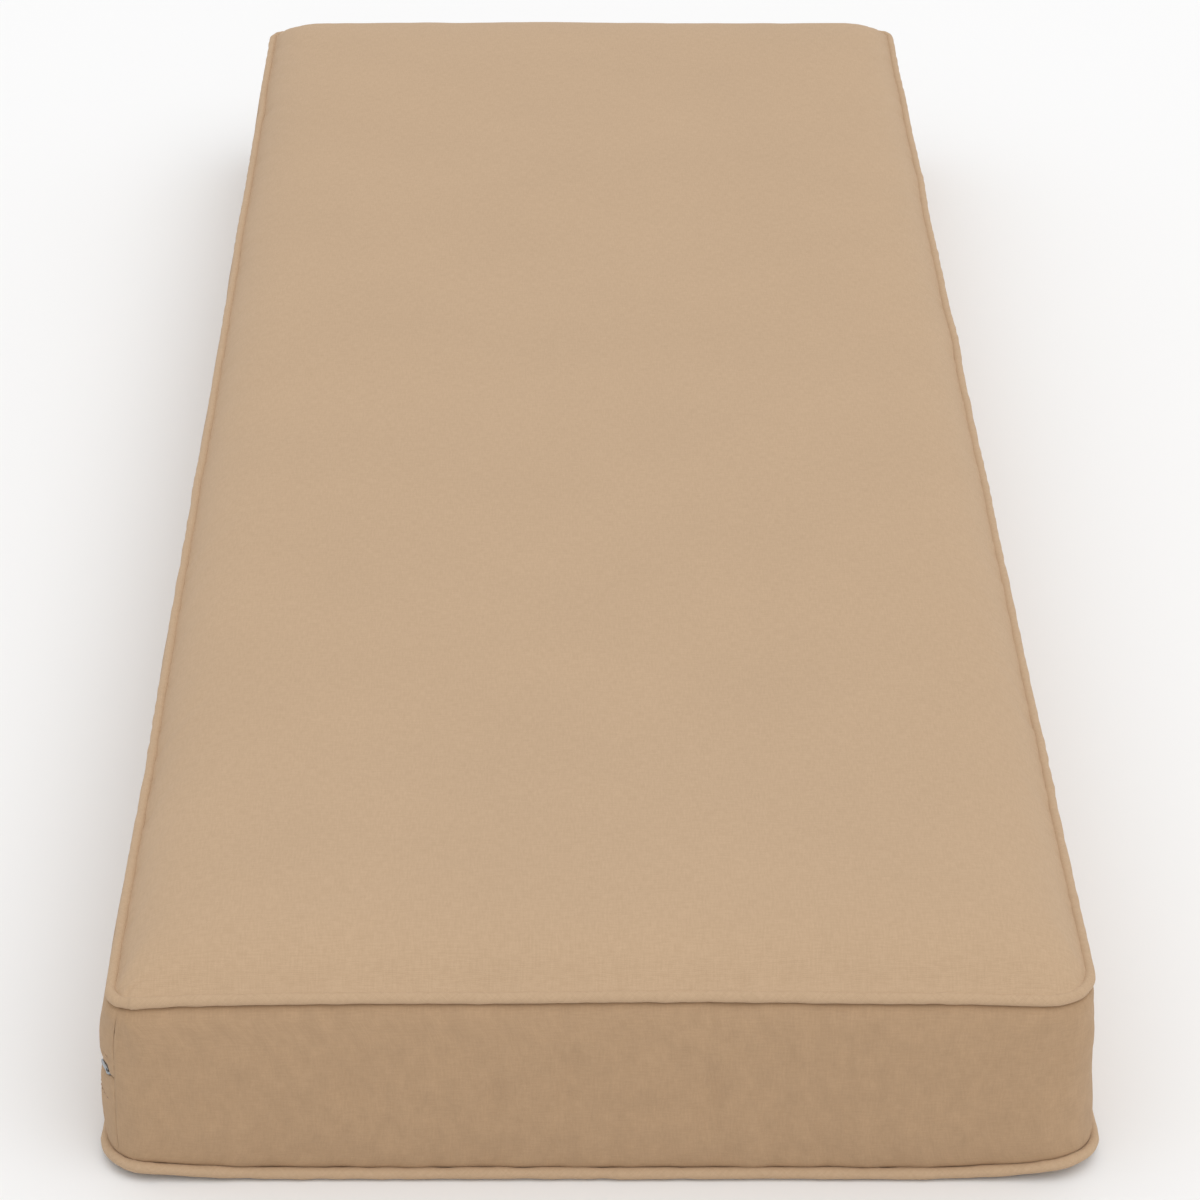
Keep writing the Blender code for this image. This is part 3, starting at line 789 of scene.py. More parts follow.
# ---------------------------------------------------------------- the pad
def groove_share():
    """1 where a groove shows between the cord and the top panel, 0 along the front."""
    degrees = np.nan_to_num(DEGREES)
    share = np.ones(COUNT)
    share[(CORNER == 0) & ~ON_CORNER] = 0.0
    share = np.where((CORNER == 0) & ON_CORNER, (90.0 - degrees) / 90.0, share)
    share = np.where((CORNER == 1) & ON_CORNER, degrees / 90.0, share)
    share = np.clip(share * 1.3 - 0.15, 0.0, 1.0)
    return share * share * (3.0 - 2.0 * share)


def right_share():
    """1 along the right-hand side, fading out round its two corners."""
    degrees = np.nan_to_num(DEGREES)
    share = np.where((CORNER == 1) & ~ON_CORNER, 1.0, 0.0)
    share = np.where((CORNER == 1) & ON_CORNER, degrees / 90.0, share)
    return np.where((CORNER == 2) & ON_CORNER, (90.0 - degrees) / 90.0, share)


RIGHT_ROOT_SHIFT = 1.1  # how much nearer to its cord the panel starts on that side
LEFT_ROOT_SHIFT = 0.7


def left_share():
    """The same for the left-hand side."""
    degrees = np.nan_to_num(DEGREES)
    share = np.where((CORNER == 3) & ~ON_CORNER, 1.0, 0.0)
    share = np.where((CORNER == 3) & ON_CORNER, degrees / 90.0, share)
    return np.where((CORNER == 0) & ON_CORNER, (90.0 - degrees) / 90.0, share)


def band(section, setback=None):
    """Rings of points for the rows of a sampled section."""
    made = []
    for index, (out, z, level, bulge, sway, base, top) in enumerate(section):
        back = 0.0 if setback is None else setback[index]
        made.append(place(out - back, z, level, bulge, sway, base, top))
    return np.array(made)


def top_band():
    groove = groove_share()
    nearer = right_share() * RIGHT_ROOT_SHIFT + left_share() * LEFT_ROOT_SHIFT
    made = []
    for at, side_row, front_row in zip(TOP_AT, TOP_FINE, TOP_FRONT_FINE):
        out = groove * side_row[0] + (1.0 - groove) * front_row[0]
        z = groove * side_row[1] + (1.0 - groove) * front_row[1]
        out = out + nearer * math.exp(-((at / 9.0) ** 2))
        ring = place(out, z, 2.0, 0.0, side_row[4], 0.0, side_row[6])
        ring[:, 2] += ease((-side_row[0] - 14.0) / 46.0) * (crown_height(*ring[:, :2].T) - z)
        made.append(ring)
    return np.array(made)


def pad_points():
    under = band(UNDER_FINE)
    height = BOX_FINE[:, 1]

    # The zip's side is set back for the strips, deeper behind the zip itself, and a
    # groove marks the upright seam at each end of them.
    behind = np.interp(
        height,
        [5.0, 7.0, 42.6, 43.6, 57.4, 58.4, 94.0, 95.2],
        [0.3, 1.6, 1.6, 5.7, 5.7, 1.6, 1.6, 0.3],
    )
    groove = np.where(
        IN_SEAM_GROOVE, 0.28 * np.exp(-(((np.nan_to_num(DEGREES) - 45.0) / 1.1) ** 2)), 0.0
    )
    setback = behind[:, None] * IS_ZIP_SIDE[None, :]
    fade = np.clip((height - 5.5) / 5.0, 0, 1) * np.clip((95.0 - height) / 5.0, 0, 1)
    setback = np.maximum(setback, groove[None, :] * fade[:, None])
    boxing = band(BOX_FINE, setback)
    clear = clear_of_seam(np.arange(COUNT))
    dip = folds_of_boxing(height) * np.where(IS_ZIP_SIDE, 0.0, clear)[None, :]
    edge = np.clip(np.minimum(BOX_AT, BOX_AT[-1] - BOX_AT) / 3.0, 0, 1)
    boxing = boxing + grid_normals(boxing) * (dip * edge[:, None])[..., None]

    top = top_band()
    dip = folds_of_top(TOP_AT)
    top = top + grid_normals(top) * dip[..., None]

    box_moved, top_moved = settle(boxing, top)
    boxing = boxing + box_moved * clear[None, :, None]
    top = top + top_moved
    top[..., 2] += top_sag(top)
    return under, boxing, top


def make_pad(material, boxing_shaded_material):
    under, boxing, top = pad_points()
    bands = [under, boxing, top]
    points = np.concatenate([part.reshape(-1, 3) for part in bands])
    starts = np.cumsum([0] + [part.shape[0] * COUNT for part in bands])
    faces, uv = [], []

    def add(quads, flat):
        faces.append(quads)
        uv.append(flat[quads].reshape(-1, 2))

    # Weave directions: along X and Y on the panels, along and up on the boxing.
    flat_plan = points[:, :2] * MM
    high = np.zeros(len(points))
    box_start, box_rows = starts[1], boxing.shape[0]
    rows_at = np.repeat(BOX_AT, COUNT)
    high[box_start : box_start + box_rows * COUNT] = rows_at
    run = np.tile(ALONG, len(points) // COUNT)
    flat_box = np.column_stack([run, high]) * MM

    add(ring_faces(under.shape[0], COUNT, starts[0]), flat_plan)
    quads = ring_faces(boxing.shape[0], COUNT, starts[1])
    corner_uv = flat_box[quads]
    corner_uv[COUNT - 1 :: COUNT, 1:3, 0] = ROUND_IT * MM  # where the outline closes
    faces.append(quads)
    uv.append(corner_uv.reshape(-1, 2))
    add(ring_faces(top.shape[0], COUNT, starts[2]), flat_plan)
    # The cloths meet inside the seams.
    k = np.arange(COUNT)
    n = (k + 1) % COUNT
    for low, high_row in (
        (starts[1] - COUNT, starts[1]),
        (starts[2] - COUNT, starts[2]),
    ):
        add(np.stack([low + k, low + n, high_row + n, high_row + k], 1), flat_plan)
    # Rungs across the middle join the two long sides, and the two ends close it.
    on_right = np.nonzero((CORNER == 1) & ~ON_CORNER)[0]
    on_left = np.nonzero((CORNER == 3) & ~ON_CORNER)[0][::-1]
    ends = (
        np.arange(on_left[0], on_right[0] + COUNT + 1) % COUNT,
        np.arange(on_right[-1], on_left[-1] + 1),
    )
    ladder = np.stack([on_right[:-1], on_right[1:], on_left[1:], on_left[:-1]], 1)
    add(ladder[:, ::-1] + starts[0], flat_plan)
    add(ladder + (starts[3] - COUNT), flat_plan)
    quads = np.concatenate(faces)
    corners = np.concatenate(uv)
    caps = [(end + starts[0])[::-1] for end in ends] + [end + (starts[3] - COUNT) for end in ends]
    caps = [cap.tolist() for cap in caps]
    cap_uv = np.concatenate([flat_plan[cap] for cap in caps])
    mesh = mesh_of(
        "cushion_cloth",
        points,
        [*quads.tolist(), *caps],
        np.concatenate([corners, cap_uv]),
    )
    bm = bmesh.new()
    bm.from_mesh(mesh)
    bmesh.ops.triangulate(bm, faces=[face for face in bm.faces if len(face.verts) > 4])
    bm.to_mesh(mesh)
    bm.free()
    mesh.shade_smooth()
    made = new_object("cushion_cloth", mesh, material)
    # The boxing band takes the darker, warmer copy of the cloth, which paints shade on the upright sides.
    mesh.materials.append(boxing_shaded_material)
    first = under.shape[0] - 1
    last = first + boxing.shape[0] - 1
    of_band = np.zeros(len(mesh.polygons), np.int32)
    of_band[first * COUNT : last * COUNT] = 1
    mesh.polygons.foreach_set("material_index", of_band)
    return made


# ---------------------------------------------------------------- piping
def make_piping(name, out, z, level, base, top, seed, material):
    """A cord in its own cloth, with the small unevenness of a hand-fed seam."""
    sides = 14
    centre = place(out, z, level, 0.0, 1.0, base, top)
    _, outward = plan(out, level, 0.0)
    ahead = np.roll(centre, -1, 0) - np.roll(centre, 1, 0)
    ahead /= np.linalg.norm(ahead, axis=1)[:, None]
    out3 = np.column_stack([outward, np.zeros(COUNT)])
    out3 -= ahead * (out3 * ahead).sum(1)[:, None]
    out3 /= np.linalg.norm(out3, axis=1)[:, None]
    up = np.cross(ahead, out3)
    up *= np.sign(up[:, 2])[:, None]
    turn = np.arange(sides) * 2 * math.pi / sides
    swell = 1.0 + waver(seed, ALONG, ((34.0, 1.0), (18.0, 0.7), (11.0, 0.4)), 0.045)
    # Tension wrinkles of the bias cloth run slantwise round the cord.
    slant = np.random.default_rng(seed + 1)
    wrinkle = np.zeros((COUNT, sides))
    for _ in range(4):
        turns = round(ROUND_IT / slant.uniform(9.0, 17.0))
        phase = slant.uniform(0, 2 * math.pi)
        wrinkle += 0.035 * np.sin(
            2 * math.pi * turns * ALONG[:, None] / ROUND_IT + turn[None, :] + phase
        )
    radius = PIPING_RADIUS * swell[:, None] + wrinkle
    points = (
        centre[:, None, :]
        + out3[:, None, :] * (np.cos(turn)[None, :] * radius)[..., None]
        + up[:, None, :] * (np.sin(turn)[None, :] * radius)[..., None]
    )
    k = np.arange(COUNT)
    n = (k + 1) % COUNT
    faces, uv = [], []
    for s in range(sides):
        t = (s + 1) % sides
        faces.append(np.stack([k * sides + s, n * sides + s, n * sides + t, k * sides + t], 1))
        run = np.where(n == 0, ROUND_IT, ALONG[n])
        low, high = s * 17.6 / sides, (s + 1) * 17.6 / sides
        uv.append(
            np.stack(
                [
                    np.column_stack([ALONG, np.full(COUNT, low)]),
                    np.column_stack([run, np.full(COUNT, low)]),
                    np.column_stack([run, np.full(COUNT, high)]),
                    np.column_stack([ALONG, np.full(COUNT, high)]),
                ],
                1,
            )
        )
    faces = np.concatenate(faces)
    uv = np.concatenate(uv).reshape(-1, 2) * MM
    mesh = mesh_of(name, points.reshape(-1, 3), faces, uv)
    fix_outside(mesh)
    return new_object(name, mesh, material)


def fix_outside(mesh):
    bm = bmesh.new()
    bm.from_mesh(mesh)
    bmesh.ops.recalc_face_normals(bm, faces=bm.faces[:])
    if bm.calc_volume(signed=True) < 0.0:
        bmesh.ops.reverse_faces(bm, faces=bm.faces[:])
    bm.to_mesh(mesh)
    bm.free()


# ---------------------------------------------------------------- zip strips
# One strip's cross-section. off: distance outside the boxing's own line; rise: share of
# the way from the folded edge to the line where the hem's slope begins.
HEM_COLUMNS = ("name", "off", "rise")
HEM = (
    ("slope_top", -0.05, 0.92),
    ("slope_high", -0.20, 0.76),
    ("slope", -0.48, 0.58),
    ("slope_low", -0.82, 0.40),
    ("roll_high", -1.20, 0.22),
    ("roll", -1.60, 0.10),
    ("fold_outer", -2.05, 0.025),
    ("fold", -2.60, 0.0),
    ("fold_inner", -3.15, 0.025),
    ("hem_low", -3.55, 0.12),
    ("hem_inner", -3.45, 0.46),
    ("hem_step", -2.6, 0.66),
    ("hem_back", -1.5, 0.80),
)
HEM_SLOPE = 9.5
STITCH_ABOVE = 10.0  # stitched line of the upper strip, above the parting line
STITCH_BELOW = 15.1  # and of the lower strip, below it


def parting(keep):
    """Half the slot between the folded edges, which widens smoothly round the slider."""
    corner, degrees, on_arc = take(keep, CORNER, DEGREES, ON_CORNER)
    angle = np.where((corner == 0) & on_arc, np.nan_to_num(degrees), -999.0)
    share = np.clip((angle - 4.0) / 14.0, 0.0, 1.0)
    share = share * share * (3.0 - 2.0 * share)
    side = waver(51, ALONG, ((160.0, 1.0), (70.0, 0.7), (33.0, 0.3)), 0.28)[keep]
    half = ZIP_PARTING + 0.1 + side + (SLIDER_PARTING - 2.1 - ZIP_PARTING) * share
    shut = past_slider(keep)
    return half * (1.0 - shut) + 0.12 * shut


def past_slider(keep):
    """1 where the folded edges meet over the slider's tail, before the upright seam."""
    corner, degrees, on_arc = take(keep, CORNER, DEGREES, ON_CORNER)
    return np.where((corner == 0) & on_arc, ease((np.nan_to_num(degrees) - 30.5) / 6.0), 0.0)


def strip_points(up):
    """Rings across the strip, one for each station of the zip's side."""
    keep = ZIP_STATIONS
    shut = past_slider(keep)
    part = parting(keep)
    if up > 0:
        outer = np.concatenate([np.linspace(96.6, 92.0, 6), np.linspace(90.0, 60.8, 15)])
        stitched = ZIP_HEIGHT + STITCH_ABOVE
    else:
        outer = np.concatenate([np.linspace(4.6, 9.4, 6), np.linspace(11.0, 40.2, 15)])
        stitched = ZIP_HEIGHT - STITCH_BELOW
    ripple = waver(
        52 if up > 0 else 53, ALONG, ((36.0, 1.0), (21.0, 0.7), (62.0, 0.8)), 0.30
    )[keep] * clear_of_seam(keep)
    broad = waver(54, ALONG, ((230.0, 1.0), (130.0, 0.8)), 0.35)[keep] * clear_of_seam(keep)
    columns = []

    def add(z, off):
        columns.append(on_boxing_each(z, off, keep))

    for z in outer:
        seam = 0.55 * np.exp(-(((z - stitched) / 1.3) ** 2))
        swell = math.sin(min(max(z / 98.0, 0.0), 1.0) * math.pi)
        gather = math.exp(-abs(z - stitched) / 6.0)
        add(np.full(len(keep), z), -seam + broad * swell + ripple * gather * 0.7)
    for row in rows(HEM_COLUMNS, HEM):
        z = ZIP_HEIGHT + up * (part + (HEM_SLOPE - part) * row["rise"])
        lift = 1.0 * shut * (1.0 - row["rise"])
        add(z, row["off"] + lift + (broad + ripple * 0.5) * (0.8 if row["off"] > -1.3 else 0.4))
    for z in outer[::-1]:
        swell = math.sin(min(max(z / 98.0, 0.0), 1.0) * math.pi)
        add(np.full(len(keep), z), -1.2 + broad * swell)
    return np.array(columns).transpose(1, 0, 2)


def on_boxing_each(z, off, keep):
    """As on_boxing, for a height and an offset of its own at each station."""
    values = [np.interp(z, BOX_FINE[:, 1], BOX_FINE[:, k]) for k in (0, 2, 3, 5, 6)]
    out, level, bulge, base, top = values
    flat, outward = plan(out + off - set_in(z, keep), level, bulge, keep)
    flat = flat + outward * (base * BASE_SHIFT[keep] + top * TOP_SHIFT[keep])[:, None]
    height = z + sway_height(z, 1.0, keep) + base * BASE_RISE[keep] + top * TOP_RISE[keep]
    return np.column_stack([flat, height])


def run_along(keep):
    run = ALONG[keep].copy()
    run[run < run[0]] += ROUND_IT
    return run


def make_strip(name, up, material):
    points = strip_points(up)
    stations, count = points.shape[:2]
    # Each end turns in to meet the upright seam.
    first = points[0] + (points[0] - points[1]) * 0.9
    last = points[-1] + (points[-1] - points[-2]) * 0.9
    for ring in (first, last):
        centre = np.array([ring[:, 0].mean(), ring[:, 1].mean(), 0.0])
        inward = -centre / np.linalg.norm(centre)
        ring += inward * 0.14
    points = np.concatenate([first[None], points, last[None]])
    stations += 2
    faces, uv = [], []
    gap = np.linalg.norm(np.diff(points, axis=1), axis=2)
    across = np.concatenate([np.zeros((stations, 1)), np.cumsum(gap, axis=1)], axis=1)
    run = run_along(ZIP_STATIONS)
    run = np.concatenate([[run[0] - 0.5], run, [run[-1] + 0.5]])
    index = np.arange(stations * count).reshape(stations, count)
    for k in range(count):
        n = (k + 1) % count
        quads = np.stack([index[:-1, k], index[:-1, n], index[1:, n], index[1:, k]], 1)
        faces.append(quads)
        far = across[:, n] if n else across[:, k] + 1.2
        uv.append(
            np.stack(
                [
                    np.column_stack([run[:-1], across[:-1, k]]),
                    np.column_stack([run[:-1], far[:-1]]),
                    np.column_stack([run[1:], far[1:]]),
                    np.column_stack([run[1:], across[1:, k]]),
                ],
                1,
            )
        )
    flat = np.concatenate(uv).reshape(-1, 2)
    ends = [index[0].tolist(), index[-1].tolist()]
    cap_uv = np.concatenate([np.column_stack([across[0], across[0]])] * 2)
    mesh = mesh_of(
        name,
        points.reshape(-1, 3),
        [*np.concatenate(faces).tolist(), *ends],
        np.concatenate([flat, cap_uv]) * MM,
    )
    fix_outside(mesh)
    mesh.shade_smooth()
    mesh.set_sharp_from_angle(angle=math.radians(62.0))
    return new_object(name, mesh, material)


def bead(start, end, outward, radius, sides=6):
    """Rings of one stitch: a short thread that dips into the cloth at both ends."""
    axis = end - start
    long = np.linalg.norm(axis)
    axis = axis / long
    side = np.cross(axis, outward)
    side /= np.linalg.norm(side)
    lift = np.cross(side, axis)
    rings = []
    for t, high, wide in ((0.0, -0.30, 0.45), (0.16, -0.02, 0.9), (0.5, 0.10, 1.0), (0.84, -0.02, 0.9), (1.0, -0.30, 0.45)):
        centre = start + axis * long * t + lift * high
        ring = [
            centre
            + side * (math.cos(a) * radius * wide)
            + lift * (math.sin(a) * radius * wide * 0.85)
            for a in (2 * math.pi * k / sides for k in range(sides))
        ]
        rings.append(ring)
    return rings


def make_stitches(name, lines, material):
    points, faces = [], []
    for z, off, pitch, share in lines:
        keep = ZIP_STATIONS[1:-1]
        path = on_boxing_each(np.full(len(keep), z), np.full(len(keep), off), keep)
        _, outward = plan(4.5, 1.0, 1.0, keep)
        run = run_along(keep)
        at = np.arange(run[0] + 2.0, run[-1] - 2.0 - pitch, pitch)
        for begin in at:
            ends = [
                np.array([np.interp(s, run, path[:, c]) for c in range(3)])
                for s in (begin, begin + pitch * share)
            ]
            out = np.array(
                [np.interp(begin + pitch / 2, run, outward[:, c]) for c in range(2)] + [0.0]
            )
            rings = bead(ends[0], ends[1], out, 0.30)
            start = len(points)
            sides = len(rings[0])
            for ring in rings:
                points.extend(ring)
            for r in range(len(rings) - 1):
                for s in range(sides):
                    n = (s + 1) % sides
                    a, b = start + r * sides, start + (r + 1) * sides
                    faces.append((a + s, a + n, b + n, b + s))
            faces.append(tuple(start + s for s in range(sides))[::-1])
            faces.append(tuple(start + (len(rings) - 1) * sides + s for s in range(sides)))
    mesh = mesh_of(name, points, faces)
    fix_outside(mesh)
    mesh.shade_smooth()
    return new_object(name, mesh, material)


# ---------------------------------------------------------------- zip
def make_tape(name, material):
    """The two tapes behind the slot, as one thin band with a raised edge by the teeth."""
    keep = ZIP_STATIONS[1:-1]
    outline = (
        (-5.15, -5.9), (-4.55, -6.0), (-4.45, -3.0), (-4.15, -2.4), (-4.15, 2.4),
        (-4.45, 3.0), (-4.55, 6.0), (-5.15, 5.9), (-5.25, 3.0), (-5.25, -3.0),
    )
    columns = [
        on_boxing_each(np.full(len(keep), ZIP_HEIGHT + rise), np.full(len(keep), off), keep)
        for off, rise in outline
    ]
    points = np.array(columns).transpose(1, 0, 2)
    stations, count = points.shape[:2]
    index = np.arange(stations * count).reshape(stations, count)
    run = run_along(keep)
    faces, uv = [], []
    for k in range(count):
        n = (k + 1) % count
        faces.append(np.stack([index[:-1, k], index[:-1, n], index[1:, n], index[1:, k]], 1))
        low, high = k * 2.3, (k + 1) * 2.3
        uv.append(
            np.stack(
                [
                    np.column_stack([run[:-1], np.full(stations - 1, low)]),
                    np.column_stack([run[:-1], np.full(stations - 1, high)]),
                    np.column_stack([run[1:], np.full(stations - 1, high)]),
                    np.column_stack([run[1:], np.full(stations - 1, low)]),
                ],
                1,
            )
        )
    caps = [index[0].tolist(), index[-1].tolist()]
    cap_uv = np.zeros((2 * count, 2))
    mesh = mesh_of(
        name,
        points.reshape(-1, 3),
        [*np.concatenate(faces).tolist(), *caps],
        np.concatenate([np.concatenate(uv).reshape(-1, 2), cap_uv]) * MM,
        sharp=50.0,
    )
    fix_outside(mesh)
    return new_object(name, mesh, material)


def make_teeth(name, material):
    """The closed coil: a row of small rounded loops from each tape, meshing in the middle."""
    keep = ZIP_STATIONS[1:-1]
    path = on_boxing_each(np.full(len(keep), ZIP_HEIGHT), np.full(len(keep), -3.55), keep)
    _, outward = plan(4.5, 1.0, 1.0, keep)
    run = run_along(keep)
    stop = run[-1] - 14.0  # the slider's place
    pitch = 1.5
    points, faces = [], []
    ring_shape = [(math.cos(a), math.sin(a)) for a in (math.pi * k / 3 for k in range(6))]
    for number, at in enumerate(np.arange(run[0] + 3.0, stop, pitch / 2)):
        side = 1 if number % 2 else -1
        centre = np.array([np.interp(at, run, path[:, c]) for c in range(3)])
        out = np.array([np.interp(at, run, outward[:, c]) for c in range(2)] + [0.0])
        out /= np.linalg.norm(out)
        along = np.cross(out, (0.0, 0.0, 1.0))
        rings = []
        for high, lift, wide in (
            (2.3, -0.55, 0.30),
            (1.6, 0.10, 0.34),
            (0.4, 0.42, 0.34),
            (-0.5, 0.36, 0.38),
            (-0.85, 0.05, 0.30),
        ):
            middle = centre + np.array([0.0, 0.0, side * high]) + out * lift
            rings.append(
                [middle + along * (c * wide) + out * (s * wide) for c, s in ring_shape]
            )
        start, sides = len(points), len(ring_shape)
        for ring in rings:
            points.extend(ring)
        for r in range(len(rings) - 1):
            for s in range(sides):
                n = (s + 1) % sides
                a, b = start + r * sides, start + (r + 1) * sides
                faces.append((a + s, a + n, b + n, b + s))
        faces.append(tuple(start + s for s in range(sides))[::-1])
        faces.append(tuple(start + (len(rings) - 1) * sides + s for s in range(sides)))
    mesh = mesh_of(name, points, faces)
    fix_outside(mesh)
    mesh.shade_smooth()
    return new_object(name, mesh, material)


def slider_matrix():
    """X along the zip towards the back, Y down, Z outwards, as the frame's slider."""
    turn = math.radians(START_ANGLE[0] + SLIDER_ANGLE)
    nearest = int(np.argmin(np.abs(np.where(ON_CORNER & (CORNER == 0), DEGREES, 999) - SLIDER_ANGLE)))
    keep = np.array([nearest])
    out, level, bulge, _, _ = boxing_at(ZIP_HEIGHT)
    row = CORNER_ROWS[0]
    radius = row["box"] + out
    x = -(TOP_WIDTH / 2 + out + SIDE_ROWS[3]["bulge"] * bulge - radius) + radius * math.cos(turn)
    y = -(TOP_LENGTH / 2 + out - radius) + radius * math.sin(turn)
    z = ZIP_HEIGHT + float(sway_height(np.array([ZIP_HEIGHT]), 1.0, keep)[0])
    outward = Vector((math.cos(turn), math.sin(turn), 0.0))
    down = Vector((0.0, 0.0, -1.0))
    along = down.cross(outward)
    made = Matrix((along, down, outward)).transposed().to_4x4()
    made.translation = Vector((x, y, z)) * MM
    return made


def plate(bm, outline, low, high, hole=None):
    """An extruded outline between two heights, in mm, with an optional hole of equal count."""
    rings = []
    for z in (low, high):
        rings.append([bm.verts.new((x * MM, y * MM, z * MM)) for x, y in outline])
    count = len(outline)
    for k in range(count):
        n = (k + 1) % count
        bm.faces.new((rings[0][k], rings[0][n], rings[1][n], rings[1][k]))
    if hole is None:
        bm.faces.new(rings[0][::-1])
        bm.faces.new(rings[1])
        return
    inner = []
    for z in (low, high):
        inner.append([bm.verts.new((x * MM, y * MM, z * MM)) for x, y in hole])
    for k in range(count):
        n = (k + 1) % count
        bm.faces.new((inner[0][n], inner[0][k], inner[1][k], inner[1][n]))
        bm.faces.new((rings[0][n], rings[0][k], inner[0][k], inner[0][n]))
        bm.faces.new((rings[1][k], rings[1][n], inner[1][n], inner[1][k]))


def finish_metal(name, bm, matrix, material, bevel, levels):
    bmesh.ops.remove_doubles(bm, verts=bm.verts[:], dist=1e-6)
    bmesh.ops.recalc_face_normals(bm, faces=bm.faces[:])
    edges = [e for e in bm.edges if e.is_manifold and e.calc_face_angle(0.0) > math.radians(35)]
    bmesh.ops.bevel(
        bm, geom=edges, offset=bevel * MM, segments=2, profile=0.6, affect="EDGES", clamp_overlap=True
    )
    mesh = bpy.data.meshes.new(name)
    bm.to_mesh(mesh)
    bm.free()
    mesh.transform(matrix)
    mesh.shade_smooth()
    mesh.set_sharp_from_angle(angle=math.radians(40))
    return new_object(name, mesh, material)


def make_slider(material):
    """A waisted slider plate with folded-in side flanges, and a bridge over it."""
    matrix = slider_matrix()
    bm = bmesh.new()
    outline = [
        (-4.4, -1.6), (-3.4, -2.1), (0.2, -2.4), (2.6, -3.0), (4.2, -2.8), (4.4, -1.2),
        (4.4, 1.2), (4.2, 2.8), (2.6, 3.0), (0.2, 2.4), (-3.4, 2.1), (-4.4, 1.6),
    ]
    plate(bm, outline, -3.0, -2.3)
    body = finish_metal("zip_slider_body", bm, matrix, material, 0.22, 1)
    # The side flanges that hold the coil.
    bm = bmesh.new()
    for side in (-1, 1):
        flange = [(x, side * y) for x, y in ((-3.2, 1.5), (-3.2, 2.0), (0.2, 2.3), (2.6, 2.9), (4.0, 2.7), (4.0, 2.1), (2.6, 2.2), (0.2, 1.7))]
        plate(bm, flange if side > 0 else flange[::-1], -3.9, -2.95)
    flanges = finish_metal("zip_slider_flanges", bm, matrix, material, 0.15, 1)
    # The bridge is a bowed strap from the nose to the tail.
    bm = bmesh.new()
    rings = []
    steps = 12
    for step in range(steps + 1):
        t = step / steps
        x = -1.3 + 4.1 * t
        top = -2.5 + 2.0 * (1 - abs(2 * t - 1) ** 3.2)
        slope = 0.0 if step in (0, steps) else 1.0
        half = 0.75
        thick = 0.55
        ring = [(x, -half, top - thick), (x, half, top - thick), (x, half, top), (x, -half, top)]
        rings.append([bm.verts.new(Vector(p) * MM) for p in ring])
        del slope
    for a, b in zip(rings, rings[1:]):
        for k in range(4):
            n = (k + 1) % 4
            bm.faces.new((a[k], a[n], b[n], b[k]))
    bm.faces.new(rings[0][::-1])
    bm.faces.new(rings[-1])
    bridge = finish_metal("zip_slider_bridge", bm, matrix, material, 0.16, 1)
    return body, flanges, bridge


def make_pull(material):
    """A slim tab with an eye, hanging on the bridge and lying back along the zip."""
    half, reach = 2.0, 6.6
    outline, hole = [], []
    sides = 24
    for k in range(sides):
        a = 2 * math.pi * k / sides
        c, s = math.cos(a), math.sin(a)
        x = (reach + 1.9 * c) if c > 0 else (0.4 + 1.7 * c)
        if abs(c) < 0.3:
            x = 0.4 + (reach - 0.4) * (c + 0.3) / 0.6
        outline.append((x, half * (abs(s) ** 0.7) * math.copysign(1, s) * (0.82 if x > 3 else 1.0)))
        hole.append((0.45 + 1.0 * c, 1.05 * s))
    bm = bmesh.new()
    plate(bm, outline, -0.4, 0.4, hole)
    hang = Matrix.Translation(Vector((1.6, 0.0, -1.6)) * MM)
    dip = Matrix.Rotation(math.radians(7.0), 4, "Y")
    return finish_metal("zip_pull_tab", bm, slider_matrix() @ hang @ dip, material, 0.14, 1)


# ---------------------------------------------------------------- materials
class Nodes:
    """Short names for making and joining shader nodes."""

    def __init__(self, name):
        self.material = bpy.data.materials.new(name)
        self.material.use_nodes = True
        self.tree = self.material.node_tree
        self.shader = self.tree.nodes["Principled BSDF"]

    def add(self, kind, **settings):
        node = self.tree.nodes.new(kind)
        for key, value in settings.items():
            setattr(node, key, value)
        return node

    def link(self, out, into):
        self.tree.links.new(out, into)

    def put(self, socket, value):
        if isinstance(value, (int, float, tuple, list)):
            socket.default_value = value
        else:
            self.link(value, socket)

    def maths(self, operation, a, b=None, c=None, clamp=False):
        node = self.add("ShaderNodeMath", operation=operation, use_clamp=clamp)
        for socket, value in zip(node.inputs, (a, b, c)):
            if value is not None:
                self.put(socket, value)
        return node.outputs[0]

    def mapping(self, vector, scale=(1, 1, 1), rotation=0.0, location=(0, 0, 0)):
        node = self.add("ShaderNodeMapping")
        self.link(vector, node.inputs["Vector"])
        node.inputs["Scale"].default_value = scale
        node.inputs["Rotation"].default_value = (0, 0, rotation)
        node.inputs["Location"].default_value = location
        return node.outputs[0]

    def noise(self, vector, scale=1.0, detail=2.0, rough=0.5, distortion=0.0):
        node = self.add("ShaderNodeTexNoise", noise_dimensions="3D")
        self.link(vector, node.inputs["Vector"])
        node.inputs["Scale"].default_value = scale
        node.inputs["Detail"].default_value = detail
        node.inputs["Roughness"].default_value = rough
        node.inputs["Distortion"].default_value = distortion
        return node.outputs[0]

    def span(self, value, low, high, to_low=0.0, to_high=1.0, smooth=True):
        node = self.add(
            "ShaderNodeMapRange", interpolation_type="SMOOTHSTEP" if smooth else "LINEAR"
        )
        self.put(node.inputs["Value"], value)
        for key, number in (
            ("From Min", low), ("From Max", high), ("To Min", to_low), ("To Max", to_high),
        ):
            node.inputs[key].default_value = number
        return node.outputs["Result"]

    def mix(self, factor, a, b, blend="MIX"):
        node = self.add("ShaderNodeMix", data_type="RGBA", blend_type=blend)
        self.put(node.inputs["Factor"], factor)
        for socket, value in ((node.inputs[6], a), (node.inputs[7], b)):
            self.put(socket, (*value, 1.0) if isinstance(value, tuple) and len(value) == 3 else value)
        return node.outputs[2]


